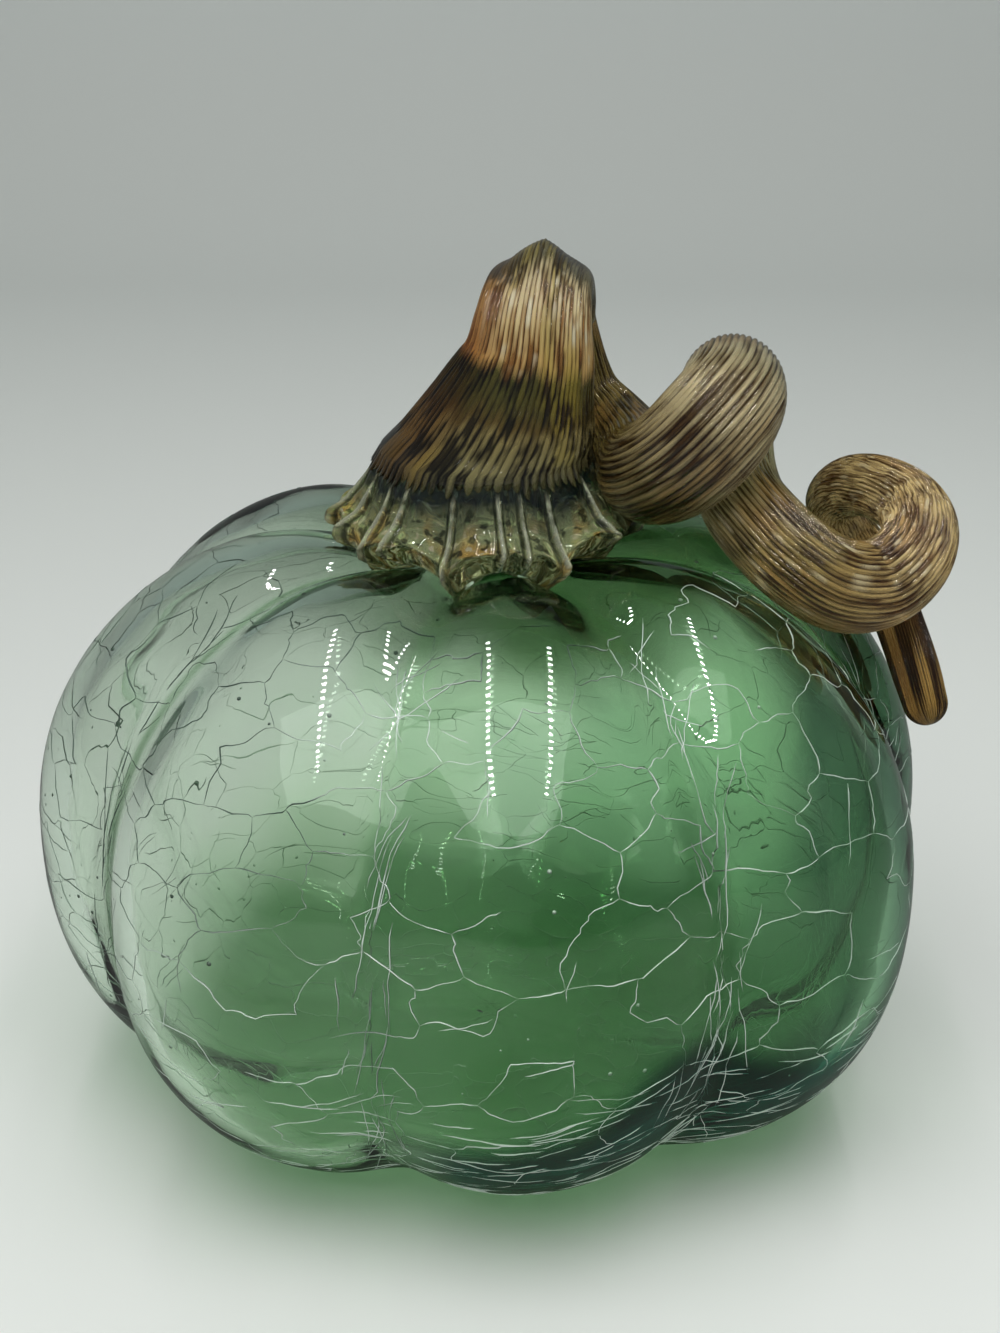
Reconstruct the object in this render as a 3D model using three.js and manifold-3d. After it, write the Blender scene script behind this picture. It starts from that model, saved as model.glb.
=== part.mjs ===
// Blown glass pumpkin: a hollow eight-lobed body of crackled glass, a fluted foot that seals its
// neck, a ribbed stem that folds over at the top, and the coiled vine that the cane runs out into.
// Millimetres, +Z up, front towards -Y. Azimuths are in degrees from the front, growing towards +X.
import * as THREE from 'three';
import { mergeVertices } from 'three/addons/utils/BufferGeometryUtils.js';
import Module from 'manifold-3d';

// Body: a squat superellipse pressed into lobes
const bodyDiameter = 150;
const crownHeight = 55.8;
const bellyDepth = 55.8;
const crownSquareness = 2.16;
const bellySquareness = 2.41;
const lobeCount = 8;
const frontLobeAzimuth = 8.6;
const creaseDepth = 7.65;
const creaseSharpness = 0.684;
const creaseDrop = 4.6;
const creaseLift = 4.4;
const creaseFade = 0.8;
const wall = 3;
const neckDiameter = 25;
const topDimpleDepth = 12;
const topDimpleSpread = 25;
const baseKickDepth = 10;
const baseKickSpread = 25;
// How far each lobe swells past the mould, counted from the front lobe towards +X
const lobeSwell = [-1.1, 2.5, -1.05, 0, 0, 0, 0, 0.75];
// Flat contact patches, worn under each lobe where it stands
const contactDiameter = 60;
const contactWidth = 8;
const contactWear = 0.4;

// Fluted foot
const footDiameter = 51.6;
const footTopDiameter = 34;
const footHeight = 13;
const plugDepth = 2;
const fluteReach = 1.5;
const fluteHalfWidth = 4.5;
const fluteAzimuths = [-90, -70, -53, -41, -15, 7, 18, 33, 60, 84, 108, 132, 155, 180, -156, -134, -112];
// Flank of the foot: share of its reach outwards, share of its drop
const flankProfile = [[0, 0], [0.1, 0.16], [0.26, 0.36], [0.48, 0.53], [0.76, 0.64], [0.95, 0.76], [1, 0.93]];

// Stem: one cane drawn up, leaning towards +X, then folded over backwards in a half circle
const stemRise = 14.7;
const stemLean = 7;
const stemFlare = [[0.0, 0, 34], [0.21, 0.29, 31.2], [0.62, 0.71, 25.4]];
const foldRadius = 9.8;
const foldLean = 4.2;
const foldWidths = [21.2, 18.8, 17.4, 16.8, 16.4, 15.8, 14.8];
const foldThins = [0.94, 0.88, 0.82, 0.78, 0.8, 0.87, 0.95];
const uprightLength = 24;

// Vine beside the stem: azimuth, reach past the foot's edge, height above the foot's top, diameter
const besideStem = [
  [142, 0, 2.4, 14],
  [128, 0.6, -1.6, 14],
  [102, -0.8, -2.6, 14.8],
];
// Vine coil, from the spot on the shoulder that it rests over: right, back, up, diameter
const perchPolar = 47;
const perchAzimuth = 75;
const coil = [
  // first turn, in front and up
  [-27.4, 7.7, 21.5, 17],
  [-23.2, 3.4, 25.5, 18.2],
  [-19, 3.7, 30, 18.4],
  // over the top and down behind
  [-16.1, 8.3, 32.4, 17.6],
  [-14.4, 19, 32.2, 16.2],
  [-13.8, 25.6, 27, 14.6],
  [-13.8, 24, 19.8, 14.1],
  [-13, 14.7, 15.2, 14],
  [-10.7, 6.1, 13.3, 14.2],
  // second turn, down in front and up on the right
  [-5.1, 0.6, 9.2, 14.6],
  [1.8, -1.6, 5.9, 14.8],
  [8.1, -0.4, 6, 14.2],
  [12.5, 1.1, 9.2, 13.2],
  [14.4, 4.4, 12.8, 12.2],
  [13.2, 9.4, 15.4, 11.3],
  // back over the top and in behind itself
  [9.1, 12.8, 17, 10.5],
  [5.1, 17.5, 15.6, 9.9],
  [3.4, 21.7, 11.3, 9.4],
  [6.8, 23.4, 5.2, 9],
  // tail
  [11, 18.9, 0.2, 8.5],
  [14.4, 14.6, -7.3, 8.1],
  [16.7, 9.4, -13.7, 8],
  [18.6, 5.5, -19.9, 7.2],
];

// Fits
const seatGap = 0.3;

// Mesh fineness
const stepsPerLobe = 8;
const crownRings = 9;
const bellyRings = 7;
const kickRingShares = [0.3, 0.62];
const fluteSteps = 90;
const undersideShares = [0.96, 0.75];
const stemSides = 24;
const vineSides = 16;
const stemRingSpacing = 3;
const vineRingSpacing = 2.2;
const pathSteps = 1200;
const bendSteps = 6;
const vineLengths = 8;
const tipRings = 5;
// Share of a bend's own radius that the cane's inner side may take up
const tightest = 0.88;
const normalStep = 0.4;
const crownPasses = 4;
const mergeTolerance = 1e-5;

const bodyRadius = bodyDiameter / 2;
const footRadius = footDiameter / 2;
const neckRadius = neckDiameter / 2;
const widest = 90;
const radians = THREE.MathUtils.degToRad;
const wasm = await Module();
wasm.setup();

// Direction on the ground plane at an azimuth
function outward(azimuth) {
  return new THREE.Vector3(Math.sin(radians(azimuth)), -Math.cos(radians(azimuth)), 0);
}

// Share of full swell at an azimuth: 1 on a lobe's ridge, 0 in a crease
function ridgeShare(azimuth, sharpness) {
  const turn = radians(azimuth - frontLobeAzimuth) * lobeCount / 2;
  return Math.abs(Math.cos(turn)) ** sharpness;
}

function swellAt(azimuth) {
  const nearest = Math.round((azimuth - frontLobeAzimuth) * lobeCount / 360);
  const lobe = ((nearest % lobeCount) + lobeCount) % lobeCount;
  return lobeSwell[lobe] * ridgeShare(azimuth, 1);
}

// The mould's profile at a polar angle from the top: radius and height above the widest level
function profileAt(polar) {
  const above = polar < widest;
  const power = 2 / (above ? crownSquareness : bellySquareness);
  const depth = above ? crownHeight : -bellyDepth;
  const radius = bodyRadius * Math.sin(radians(polar)) ** power;
  return { radius, height: depth * Math.abs(Math.cos(radians(polar))) ** power };
}

// Polar angle at which the profile has a radius, on the crown or under the belly
function polarOf(radius, above) {
  const power = (above ? crownSquareness : bellySquareness) / 2;
  const polar = THREE.MathUtils.radToDeg(Math.asin((radius / bodyRadius) ** power));
  return above ? polar : 180 - polar;
}

// Outer surface of the body
function bodySkin(azimuth, polar) {
  const { radius, height } = profileAt(polar);
  const crease = 1 - ridgeShare(azimuth, creaseSharpness);
  const share = (creaseDepth / bodyRadius) * crease * (radius / bodyRadius) ** creaseFade;
  const lobed = radius * (1 - share) * (1 + swellAt(azimuth) / bodyRadius);
  const point = outward(azimuth).multiplyScalar(lobed);
  const topDimple = topDimpleDepth * Math.exp(-((radius / topDimpleSpread) ** 2));
  const baseKick = baseKickDepth * Math.exp(-((radius / baseKickSpread) ** 2));
  if (height >= 0) {
    point.z = height * (1 - (creaseDrop / crownHeight) * crease) - topDimple;
  } else {
    point.z = height * (1 - (creaseLift / bellyDepth) * crease) + baseKick;
  }
  return point;
}

// The same surface moved out along its normal, or in where grow is negative
function bodyPoint(azimuth, polar, grow) {
  const along = bodySkin(azimuth, polar + normalStep).sub(bodySkin(azimuth, polar - normalStep));
  const around = bodySkin(azimuth + normalStep, polar).sub(bodySkin(azimuth - normalStep, polar));
  const normal = around.cross(along).normalize().negate();
  return bodySkin(azimuth, polar).addScaledVector(normal, grow);
}

// Height of the crown's outer surface at a radius and azimuth
function crownAt(radius, azimuth) {
  let guess = radius;
  for (let pass = 0; pass < crownPasses; pass += 1) {
    const point = bodySkin(azimuth, polarOf(guess, true));
    guess *= radius / Math.hypot(point.x, point.y);
  }
  return bodySkin(azimuth, polarOf(guess, true)).z;
}

// Closed skin over rings of points, each ring counter-clockwise about the way that the rings run
function skin(rings, startPole, endPole) {
  const count = rings[0].length;
  const points = [startPole, ...rings.flat(), endPole];
  const at = (ring, i) => 1 + ring * count + (i % count);
  const faces = [];
  for (let i = 0; i < count; i += 1) {
    faces.push(0, at(0, i + 1), at(0, i));
    for (let ring = 0; ring < rings.length - 1; ring += 1) {
      faces.push(at(ring, i), at(ring, i + 1), at(ring + 1, i + 1));
      faces.push(at(ring, i), at(ring + 1, i + 1), at(ring + 1, i));
    }
    faces.push(at(rings.length - 1, i), at(rings.length - 1, i + 1), points.length - 1);
  }
  const numbers = points.flatMap((point) => point.toArray());
  const geometry = new THREE.BufferGeometry();
  geometry.setAttribute('position', new THREE.Float32BufferAttribute(numbers, 3));
  geometry.setIndex(faces);
  return geometry;
}

function toSolid(geometry) {
  const bare = geometry.clone();
  bare.deleteAttribute('normal');
  bare.deleteAttribute('uv');
  const merged = mergeVertices(bare, mergeTolerance);
  const vertProperties = new Float32Array(merged.attributes.position.array);
  const triVerts = new Uint32Array(merged.index.array);
  return new wasm.Manifold(new wasm.Mesh({ numProp: 3, vertProperties, triVerts }));
}

function fromSolid(solid) {
  const mesh = solid.getMesh();
  const numbers = new Float32Array(mesh.vertProperties);
  const geometry = new THREE.BufferGeometry();
  geometry.setAttribute('position', new THREE.BufferAttribute(numbers, 3));
  geometry.setIndex(new THREE.BufferAttribute(new Uint32Array(mesh.triVerts), 1));
  return geometry;
}

// Ring of points around the axis, one point for each azimuth
function ringAround(count, pointAt) {
  return Array.from({ length: count }, (_, i) => pointAt((360 * i) / count + frontLobeAzimuth));
}

function spread(from, to, steps) {
  return Array.from({ length: steps + 1 }, (_, i) => from + ((to - from) * i) / steps);
}

// Height of the plane that the lobes stand on
const standingRings = [1, 0, -1].map((side) => polarOf((contactDiameter + side * contactWidth) / 2, false));
const standingHeight = bodySkin(frontLobeAzimuth, standingRings[1]).z + contactWear;

// Polar angles of the body's rings, from the kick-up under the base to the neck
function bodyLevels() {
  const kickRings = kickRingShares.map((share) => polarOf((share * contactDiameter) / 2, false));
  const belly = spread(standingRings[0], widest, bellyRings).slice(1);
  const crown = spread(widest, polarOf(neckRadius, true), crownRings).slice(1);
  return [...kickRings, ...[...standingRings].reverse(), ...belly, ...crown];
}

// Solid inside the body's outer surface, grown by a clearance and capped over the neck
function bodyEnvelope(grow) {
  const count = lobeCount * stepsPerLobe;
  const rings = bodyLevels().map((polar) => (
    ringAround(count, (azimuth) => bodyPoint(azimuth, polar, grow))));
  const bottom = new THREE.Vector3(0, 0, baseKickDepth - bellyDepth - grow);
  const top = new THREE.Vector3(0, 0, crownHeight - topDimpleDepth + grow);
  return toSolid(skin(rings, bottom, top));
}

function glassBody() {
  const count = lobeCount * stepsPerLobe;
  const levels = bodyLevels();
  const outer = levels.map((polar) => ringAround(count, (azimuth) => {
    const point = bodyPoint(azimuth, polar, 0);
    point.z = Math.max(point.z, standingHeight);
    return point;
  }));
  const inner = levels.map((polar) => (
    ringAround(count, (azimuth) => bodyPoint(azimuth, polar, -wall))));
  const under = new THREE.Vector3(0, 0, baseKickDepth - bellyDepth);
  const floor = new THREE.Vector3(0, 0, baseKickDepth - bellyDepth + wall);
  return skin([...outer, ...inner.reverse()], under, floor);
}

// Height of the foot's flat top, where the stem stands
const footEdgeHeight = crownAt(footRadius, frontLobeAzimuth);
const seatHeight = footEdgeHeight + footHeight;

// How far an azimuth is up a flute's ridge: 1 on it, 0 between two
function fluteShare(azimuth) {
  const nearest = Math.min(...fluteAzimuths.map((ridge) => {
    const apart = Math.abs(azimuth - ridge) % 360;
    return Math.min(apart, 360 - apart);
  }));
  return Math.exp(-((nearest / fluteHalfWidth) ** 2));
}

function foot(grow) {
  const topRadius = footTopDiameter / 2;
  const flank = flankProfile.map(([reach, drop]) => ringAround(fluteSteps, (azimuth) => {
    const hollow = fluteReach * (1 - fluteShare(azimuth)) * reach;
    const radius = THREE.MathUtils.lerp(topRadius, footRadius, reach) - hollow + grow;
    const edge = crownAt(radius, azimuth) + seatGap;
    const point = outward(azimuth).multiplyScalar(radius);
    point.z = THREE.MathUtils.lerp(seatHeight + grow, edge, drop);
    return point;
  }));
  const underside = undersideShares.map((share) => ringAround(fluteSteps, (azimuth) => {
    const radius = footRadius * share - fluteReach * (1 - fluteShare(azimuth));
    const point = outward(azimuth).multiplyScalar(radius);
    point.z = crownAt(radius, azimuth) + seatGap;
    return point;
  }));
  const narrowest = bodySkin(frontLobeAzimuth + 180 / lobeCount, polarOf(neckRadius, true));
  const plugRadius = Math.hypot(narrowest.x, narrowest.y) - seatGap;
  const plug = [0, plugDepth].map((depth) => ringAround(fluteSteps, (azimuth) => {
    const point = outward(azimuth).multiplyScalar(plugRadius);
    point.z = crownAt(neckRadius, azimuth) + seatGap - depth;
    return point;
  }));
  const top = new THREE.Vector3(0, 0, seatHeight + grow);
  const bottom = new THREE.Vector3(0, 0, crownAt(neckRadius, frontLobeAzimuth) - plugDepth);
  return skin([...plug.reverse(), ...underside.reverse(), ...flank.reverse()], bottom, top);
}

// Stations of the whole cane, from the foot's top to the tip of the tail
const foldStart = seatHeight + seatGap + stemRise;
function caneStations() {
  const base = seatHeight + seatGap;
  const stations = stemFlare.map(([rise, lean, width]) => (
    { point: [stemLean * lean, 0, base + stemRise * rise], width, thin: 1 }));
  foldWidths.forEach((width, i) => {
    const share = i / (foldWidths.length - 1);
    const turn = Math.PI * (1 - share);
    const x = stemLean + foldLean * share;
    const y = foldRadius * (1 + Math.cos(turn));
    stations.push({ point: [x, y, foldStart + foldRadius * Math.sin(turn)], width, thin: foldThins[i] });
  });
  besideStem.forEach(([azimuth, past, rise, width]) => {
    const point = outward(azimuth).multiplyScalar(footRadius + past);
    stations.push({ point: [point.x, point.y, seatHeight + rise], width, thin: 1 });
  });
  const { radius, height } = profileAt(perchPolar);
  const perch = outward(perchAzimuth).multiplyScalar(radius);
  coil.forEach(([right, back, up, width]) => {
    stations.push({ point: [perch.x + right, perch.y + back, height + up], width, thin: 1 });
  });
  return stations;
}

// The cane sampled evenly: place, frame, bend, width and thinness at each step of its length
function sampleCane() {
  const stations = caneStations();
  const places = stations.map((station) => new THREE.Vector3(...station.point));
  const path = new THREE.CatmullRomCurve3(places, false, 'centripetal');
  path.arcLengthDivisions = pathSteps * 2;
  const widths = new THREE.SplineCurve(stations.map((s, i) => new THREE.Vector2(i, s.width)));
  const thins = new THREE.SplineCurve(stations.map((s, i) => new THREE.Vector2(i, s.thin)));
  const length = path.getLength();
  const samples = spread(0, 1, pathSteps).map((share) => {
    const t = path.getUtoTmapping(share);
    const sample = { at: share * length, place: path.getPoint(t), way: path.getTangent(t) };
    sample.width = widths.getPoint(t).y;
    sample.thin = thins.getPoint(t).y;
    return sample;
  });
  let side = new THREE.Vector3(0, -1, 0);
  samples.forEach((sample, i) => {
    const before = samples[Math.max(i - bendSteps, 0)];
    const after = samples[Math.min(i + bendSteps, pathSteps)];
    sample.bend = after.way.clone().sub(before.way).divideScalar(after.at - before.at);
    const upright = 1 - THREE.MathUtils.smoothstep(sample.at, 0, uprightLength);
    const facing = sample.way.clone().lerp(new THREE.Vector3(0, 0, 1), upright).normalize();
    side = side.clone().addScaledVector(facing, -side.dot(facing)).normalize();
    sample.side = side;
    sample.across = facing.clone().cross(side);
  });
  return { samples, length };
}

const cane = sampleCane();
// The stem ends and the vine begins where the fold has come back down to its start
const foldEnd = cane.samples.find(({ place }) => place.y > foldRadius && place.z < foldStart);

// Cross-section of the cane, flattened where a tight bend would fold its inner side
function caneRing(at, sides, grow, share = 1) {
  const sample = cane.samples[Math.round((at / cane.length) * pathSteps)];
  const radius = (sample.width / 2) * share + grow;
  return Array.from({ length: sides }, (_, i) => {
    const turn = (2 * Math.PI * i) / sides;
    const offset = sample.side.clone().multiplyScalar(radius * sample.thin * Math.cos(turn));
    offset.addScaledVector(sample.across, radius * Math.sin(turn));
    const crowding = offset.dot(sample.bend);
    if (crowding > tightest) {
      offset.addScaledVector(sample.bend, (tightest - crowding) / sample.bend.lengthSq());
    }
    return offset.add(sample.place);
  });
}

function centreOf(ring) {
  const sum = new THREE.Vector3();
  ring.forEach((point) => sum.add(point));
  return sum.divideScalar(ring.length);
}

function caneLength(from, to, spacing, sides, grow) {
  const steps = Math.max(Math.round((to - from) / spacing), 1);
  const rings = spread(from, to, steps).map((at) => caneRing(at, sides, grow));
  return skin(rings, centreOf(rings[0]), centreOf(rings[steps]));
}

function stem(grow) {
  return caneLength(0, foldEnd.at - seatGap / 2, stemRingSpacing, stemSides, grow);
}

// The rounded end of the tail
function tailTip() {
  const tipRadius = cane.samples[pathSteps].width / 2;
  const rings = spread(0, Math.PI / 2, tipRings).map((turn) => {
    const share = Math.cos(turn);
    const reach = cane.samples[pathSteps].way.clone().multiplyScalar(tipRadius * Math.sin(turn));
    return caneRing(cane.length, vineSides, 0, share).map((point) => point.add(reach));
  });
  const end = centreOf(rings.pop());
  return skin(rings, centreOf(rings[0]), end);
}

function vine() {
  const from = foldEnd.at + seatGap / 2;
  const cuts = spread(from, cane.length, vineLengths);
  let solid = toSolid(tailTip());
  for (let i = 0; i < vineLengths; i += 1) {
    solid = solid.add(toSolid(caneLength(cuts[i], cuts[i + 1], vineRingSpacing, vineSides, 0)));
  }
  solid = solid.subtract(bodyEnvelope(seatGap));
  solid = solid.subtract(toSolid(foot(seatGap)));
  return fromSolid(solid.subtract(toSolid(stem(seatGap))));
}

function piece(name, geometry, color, roughness) {
  geometry.computeVertexNormals();
  const glass = new THREE.MeshStandardMaterial({ color, roughness, metalness: 0 });
  const mesh = new THREE.Mesh(geometry, glass);
  mesh.name = name;
  return mesh;
}

const pumpkin = new THREE.Group();
pumpkin.add(piece('glass_body', glassBody(), 0x6fa886, 0.04));
pumpkin.add(piece('fluted_foot', foot(0), 0xa08a52, 0.08));
pumpkin.add(piece('ribbed_stem', stem(0), 0x6b5a35, 0.12));
pumpkin.add(piece('coiled_vine', vine(), 0x8a6f48, 0.12));

// The origin is under the middle of the whole part, on the ground
const box = new THREE.Box3().setFromObject(pumpkin);
const middle = box.getCenter(new THREE.Vector3());
pumpkin.position.set(-middle.x, -middle.y, -box.min.z);
pumpkin.updateMatrixWorld(true);

export default pumpkin;
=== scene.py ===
# Blown glass pumpkin: a crackled eight-lobed body, a fluted foot, and a ribbed cane that is
# folded over as the stem and coiled over one shoulder as the vine. Metres, +Z up, front to -Y.
import math

import bpy
import numpy as np
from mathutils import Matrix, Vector


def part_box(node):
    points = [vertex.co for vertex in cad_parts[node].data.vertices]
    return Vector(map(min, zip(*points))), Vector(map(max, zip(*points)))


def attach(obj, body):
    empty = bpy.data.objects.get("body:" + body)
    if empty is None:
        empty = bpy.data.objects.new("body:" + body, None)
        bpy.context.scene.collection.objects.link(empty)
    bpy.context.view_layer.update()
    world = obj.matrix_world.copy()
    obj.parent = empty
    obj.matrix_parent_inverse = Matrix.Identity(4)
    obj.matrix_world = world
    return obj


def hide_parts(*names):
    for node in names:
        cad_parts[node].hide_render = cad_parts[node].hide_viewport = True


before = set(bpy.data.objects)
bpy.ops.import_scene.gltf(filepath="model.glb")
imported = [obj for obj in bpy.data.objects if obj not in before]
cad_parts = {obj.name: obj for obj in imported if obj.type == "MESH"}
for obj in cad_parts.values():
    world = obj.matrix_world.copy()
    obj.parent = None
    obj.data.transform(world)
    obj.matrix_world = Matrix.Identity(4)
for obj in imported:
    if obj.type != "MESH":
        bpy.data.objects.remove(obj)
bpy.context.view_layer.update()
mm = 0.001
fullTurn = 2 * math.pi
print("frame loaded:", sorted(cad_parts))


# Formulas that read as plain arithmetic and work on numbers, on arrays and on node sockets

class Wire:
    def __init__(self, tree, socket):
        self.tree = tree
        self.socket = socket

    def math(self, operation, *values):
        node = self.tree.nodes.new("ShaderNodeMath")
        node.operation = operation
        for socket, value in zip(node.inputs, values):
            plug(self.tree, value, socket)
        return Wire(self.tree, node.outputs[0])

    def __add__(self, other):
        return self.math("ADD", self, other)

    def __radd__(self, other):
        return self.math("ADD", other, self)

    def __sub__(self, other):
        return self.math("SUBTRACT", self, other)

    def __rsub__(self, other):
        return self.math("SUBTRACT", other, self)

    def __mul__(self, other):
        return self.math("MULTIPLY", self, other)

    def __rmul__(self, other):
        return self.math("MULTIPLY", other, self)

    def __truediv__(self, other):
        return self.math("DIVIDE", self, other)

    def __rtruediv__(self, other):
        return self.math("DIVIDE", other, self)

    def __pow__(self, other):
        return self.math("POWER", self, other)


def plug(tree, value, socket):
    if isinstance(value, Wire):
        tree.links.new(value.socket, socket)
    else:
        socket.default_value = value


def calc(operation, plain, *values):
    wires = [value for value in values if isinstance(value, Wire)]
    return wires[0].math(operation, *values) if wires else plain(*values)


def sine(a):
    return calc("SINE", np.sin, a)


def cosine(a):
    return calc("COSINE", np.cos, a)


def absolute(a):
    return calc("ABSOLUTE", np.abs, a)


def larger(a, b):
    return calc("MAXIMUM", np.maximum, a, b)


def smaller(a, b):
    return calc("MINIMUM", np.minimum, a, b)


def between(value, low, high):
    return larger(smaller(value, high), low)


def exponent(a):
    return calc("EXPONENT", np.exp, a)


# 1 at nought, falling off softly to both sides
def bell(a):
    return exponent(a ** 2 * -1.0)


def isLess(a, b):
    return calc("LESS_THAN", lambda p, q: np.less(p, q) * 1.0, a, b)


def wholeBelow(a):
    return calc("FLOOR", np.floor, a)


def nearestWhole(a):
    return calc("ROUND", np.round, a)


def wrapped(a, span):
    return calc("FLOORED_MODULO", np.mod, a, span)


# One value of a short list, chosen by a whole number
def pick(values, index):
    if not isinstance(index, Wire):
        return np.take(values, np.asarray(index).astype(int))
    node = index.tree.nodes.new("GeometryNodeIndexSwitch")
    node.data_type = "FLOAT"
    while len(node.index_switch_items) < len(values):
        node.index_switch_items.new()
    index.tree.links.new(index.socket, node.inputs["Index"])
    for socket, value in zip([s for s in node.inputs if s.name != "Index"], values):
        plug(index.tree, value, socket)
    return Wire(index.tree, node.outputs[0])


# Shader nodes

glassIndex = 1.5  # how strongly the glass bends light


def newMaterial(name):
    material = bpy.data.materials.new(name)
    material.use_nodes = True
    return material, material.node_tree.nodes["Principled BSDF"]


def newGlass(name, roughness, transmission):
    material, shader = newMaterial(name)
    shader.inputs["Roughness"].default_value = roughness
    shader.inputs["IOR"].default_value = glassIndex
    shader.inputs["Transmission Weight"].default_value = transmission
    return material, shader


# Lets light through to what lies behind: shadow rays pass, tinted
def passShadows(material, shader, tint):
    nodes, links = material.node_tree.nodes, material.node_tree.links
    clear = nodes.new("ShaderNodeBsdfTransparent")
    plug(material.node_tree, tint, clear.inputs["Color"])
    path = nodes.new("ShaderNodeLightPath")
    mix = nodes.new("ShaderNodeMixShader")
    links.new(path.outputs["Is Shadow Ray"], mix.inputs[0])
    links.new(shader.outputs[0], mix.inputs[1])
    links.new(clear.outputs[0], mix.inputs[2])
    links.new(mix.outputs[0], nodes["Material Output"].inputs["Surface"])


# Group of shader nodes with named inputs, which come back as wires; endGroup gives it its outputs
def startGroup(name, inputs):
    tree = bpy.data.node_groups.new(name, "ShaderNodeTree")
    for label, value in inputs.items():
        tree.interface.new_socket(label, in_out="INPUT", socket_type="NodeSocketFloat").default_value = value
    entry = tree.nodes.new("NodeGroupInput")
    return tree, [Wire(tree, entry.outputs[label]) for label in inputs]


def endGroup(tree, results):
    for label in results:
        tree.interface.new_socket(label, in_out="OUTPUT", socket_type="NodeSocketFloat")
    outlet = tree.nodes.new("NodeGroupOutput")
    for label, value in results.items():
        tree.links.new(value.socket, outlet.inputs[label])
    return tree


def useGroup(material, group, values):
    node = material.node_tree.nodes.new("ShaderNodeGroup")
    node.node_tree = group
    for label, value in values.items():
        plug(material.node_tree, value, node.inputs[label])
    return {output.name: Wire(material.node_tree, output) for output in node.outputs}


def mixColours(tree, factor, first, second, kind="MIX"):
    mix = tree.nodes.new("ShaderNodeMix")
    mix.data_type = "RGBA"
    mix.blend_type = kind
    for value, socket in ((factor, mix.inputs["Factor"]), (first, mix.inputs[6]), (second, mix.inputs[7])):
        plug(tree, value, socket)
    return Wire(tree, mix.outputs[2])


def ramp(tree, value, stops):
    node = tree.nodes.new("ShaderNodeValToRGB")
    elements = node.color_ramp.elements
    elements[0].position, elements[0].color = stops[0]
    elements[1].position, elements[1].color = stops[-1]
    for position, colour in stops[1:-1]:
        elements.new(position).color = colour
    plug(tree, value, node.inputs[0])
    return Wire(tree, node.outputs[0])


# 0 to 1 as a value goes from one limit to the other, softly at both ends
def smooth(tree, value, start, end):
    node = tree.nodes.new("ShaderNodeMapRange")
    node.interpolation_type = "SMOOTHSTEP"
    for key, setting in (("Value", value), ("From Min", start), ("From Max", end)):
        plug(tree, setting, node.inputs[key])
    return Wire(tree, node.outputs["Result"])


def partsOf(tree, vector):
    split = tree.nodes.new("ShaderNodeSeparateXYZ")
    tree.links.new(vector, split.inputs[0])
    return [Wire(tree, output) for output in split.outputs]


def objectPlace(tree):
    return tree.nodes.new("ShaderNodeTexCoord").outputs["Object"]


# The share round a piece, and how far along or down it lies, from the map that the piece carries
def glassMap(tree):
    node = tree.nodes.new("ShaderNodeUVMap")
    node.uv_map = "glassMap"
    return partsOf(tree, node.outputs[0])[:2]


def noiseAt(tree, spot, scale, detail=2.0):
    noise = tree.nodes.new("ShaderNodeTexNoise")
    noise.inputs["Scale"].default_value = scale
    noise.inputs["Detail"].default_value = detail
    tree.links.new(spot, noise.inputs["Vector"])
    return Wire(tree, noise.outputs["Fac"])


def flatNoise(tree, x, y, seed, detail=2.0):
    spot = tree.nodes.new("ShaderNodeCombineXYZ")
    for value, socket in zip((x, y, seed), spot.inputs):
        plug(tree, value, socket)
    return noiseAt(tree, spot.outputs[0], 1.0, detail)


def grainNoise(tree, x, y, grain, detail=2.0):
    across, along, seed = grain
    return flatNoise(tree, x * across, y * along, seed, detail)


def newObject(name, mesh):
    piece = bpy.data.objects.new(name, mesh)
    bpy.context.scene.collection.objects.link(piece)
    return piece


# Geometry node trees: made with named inputs, run on an object, and turned into a plain mesh

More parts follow.
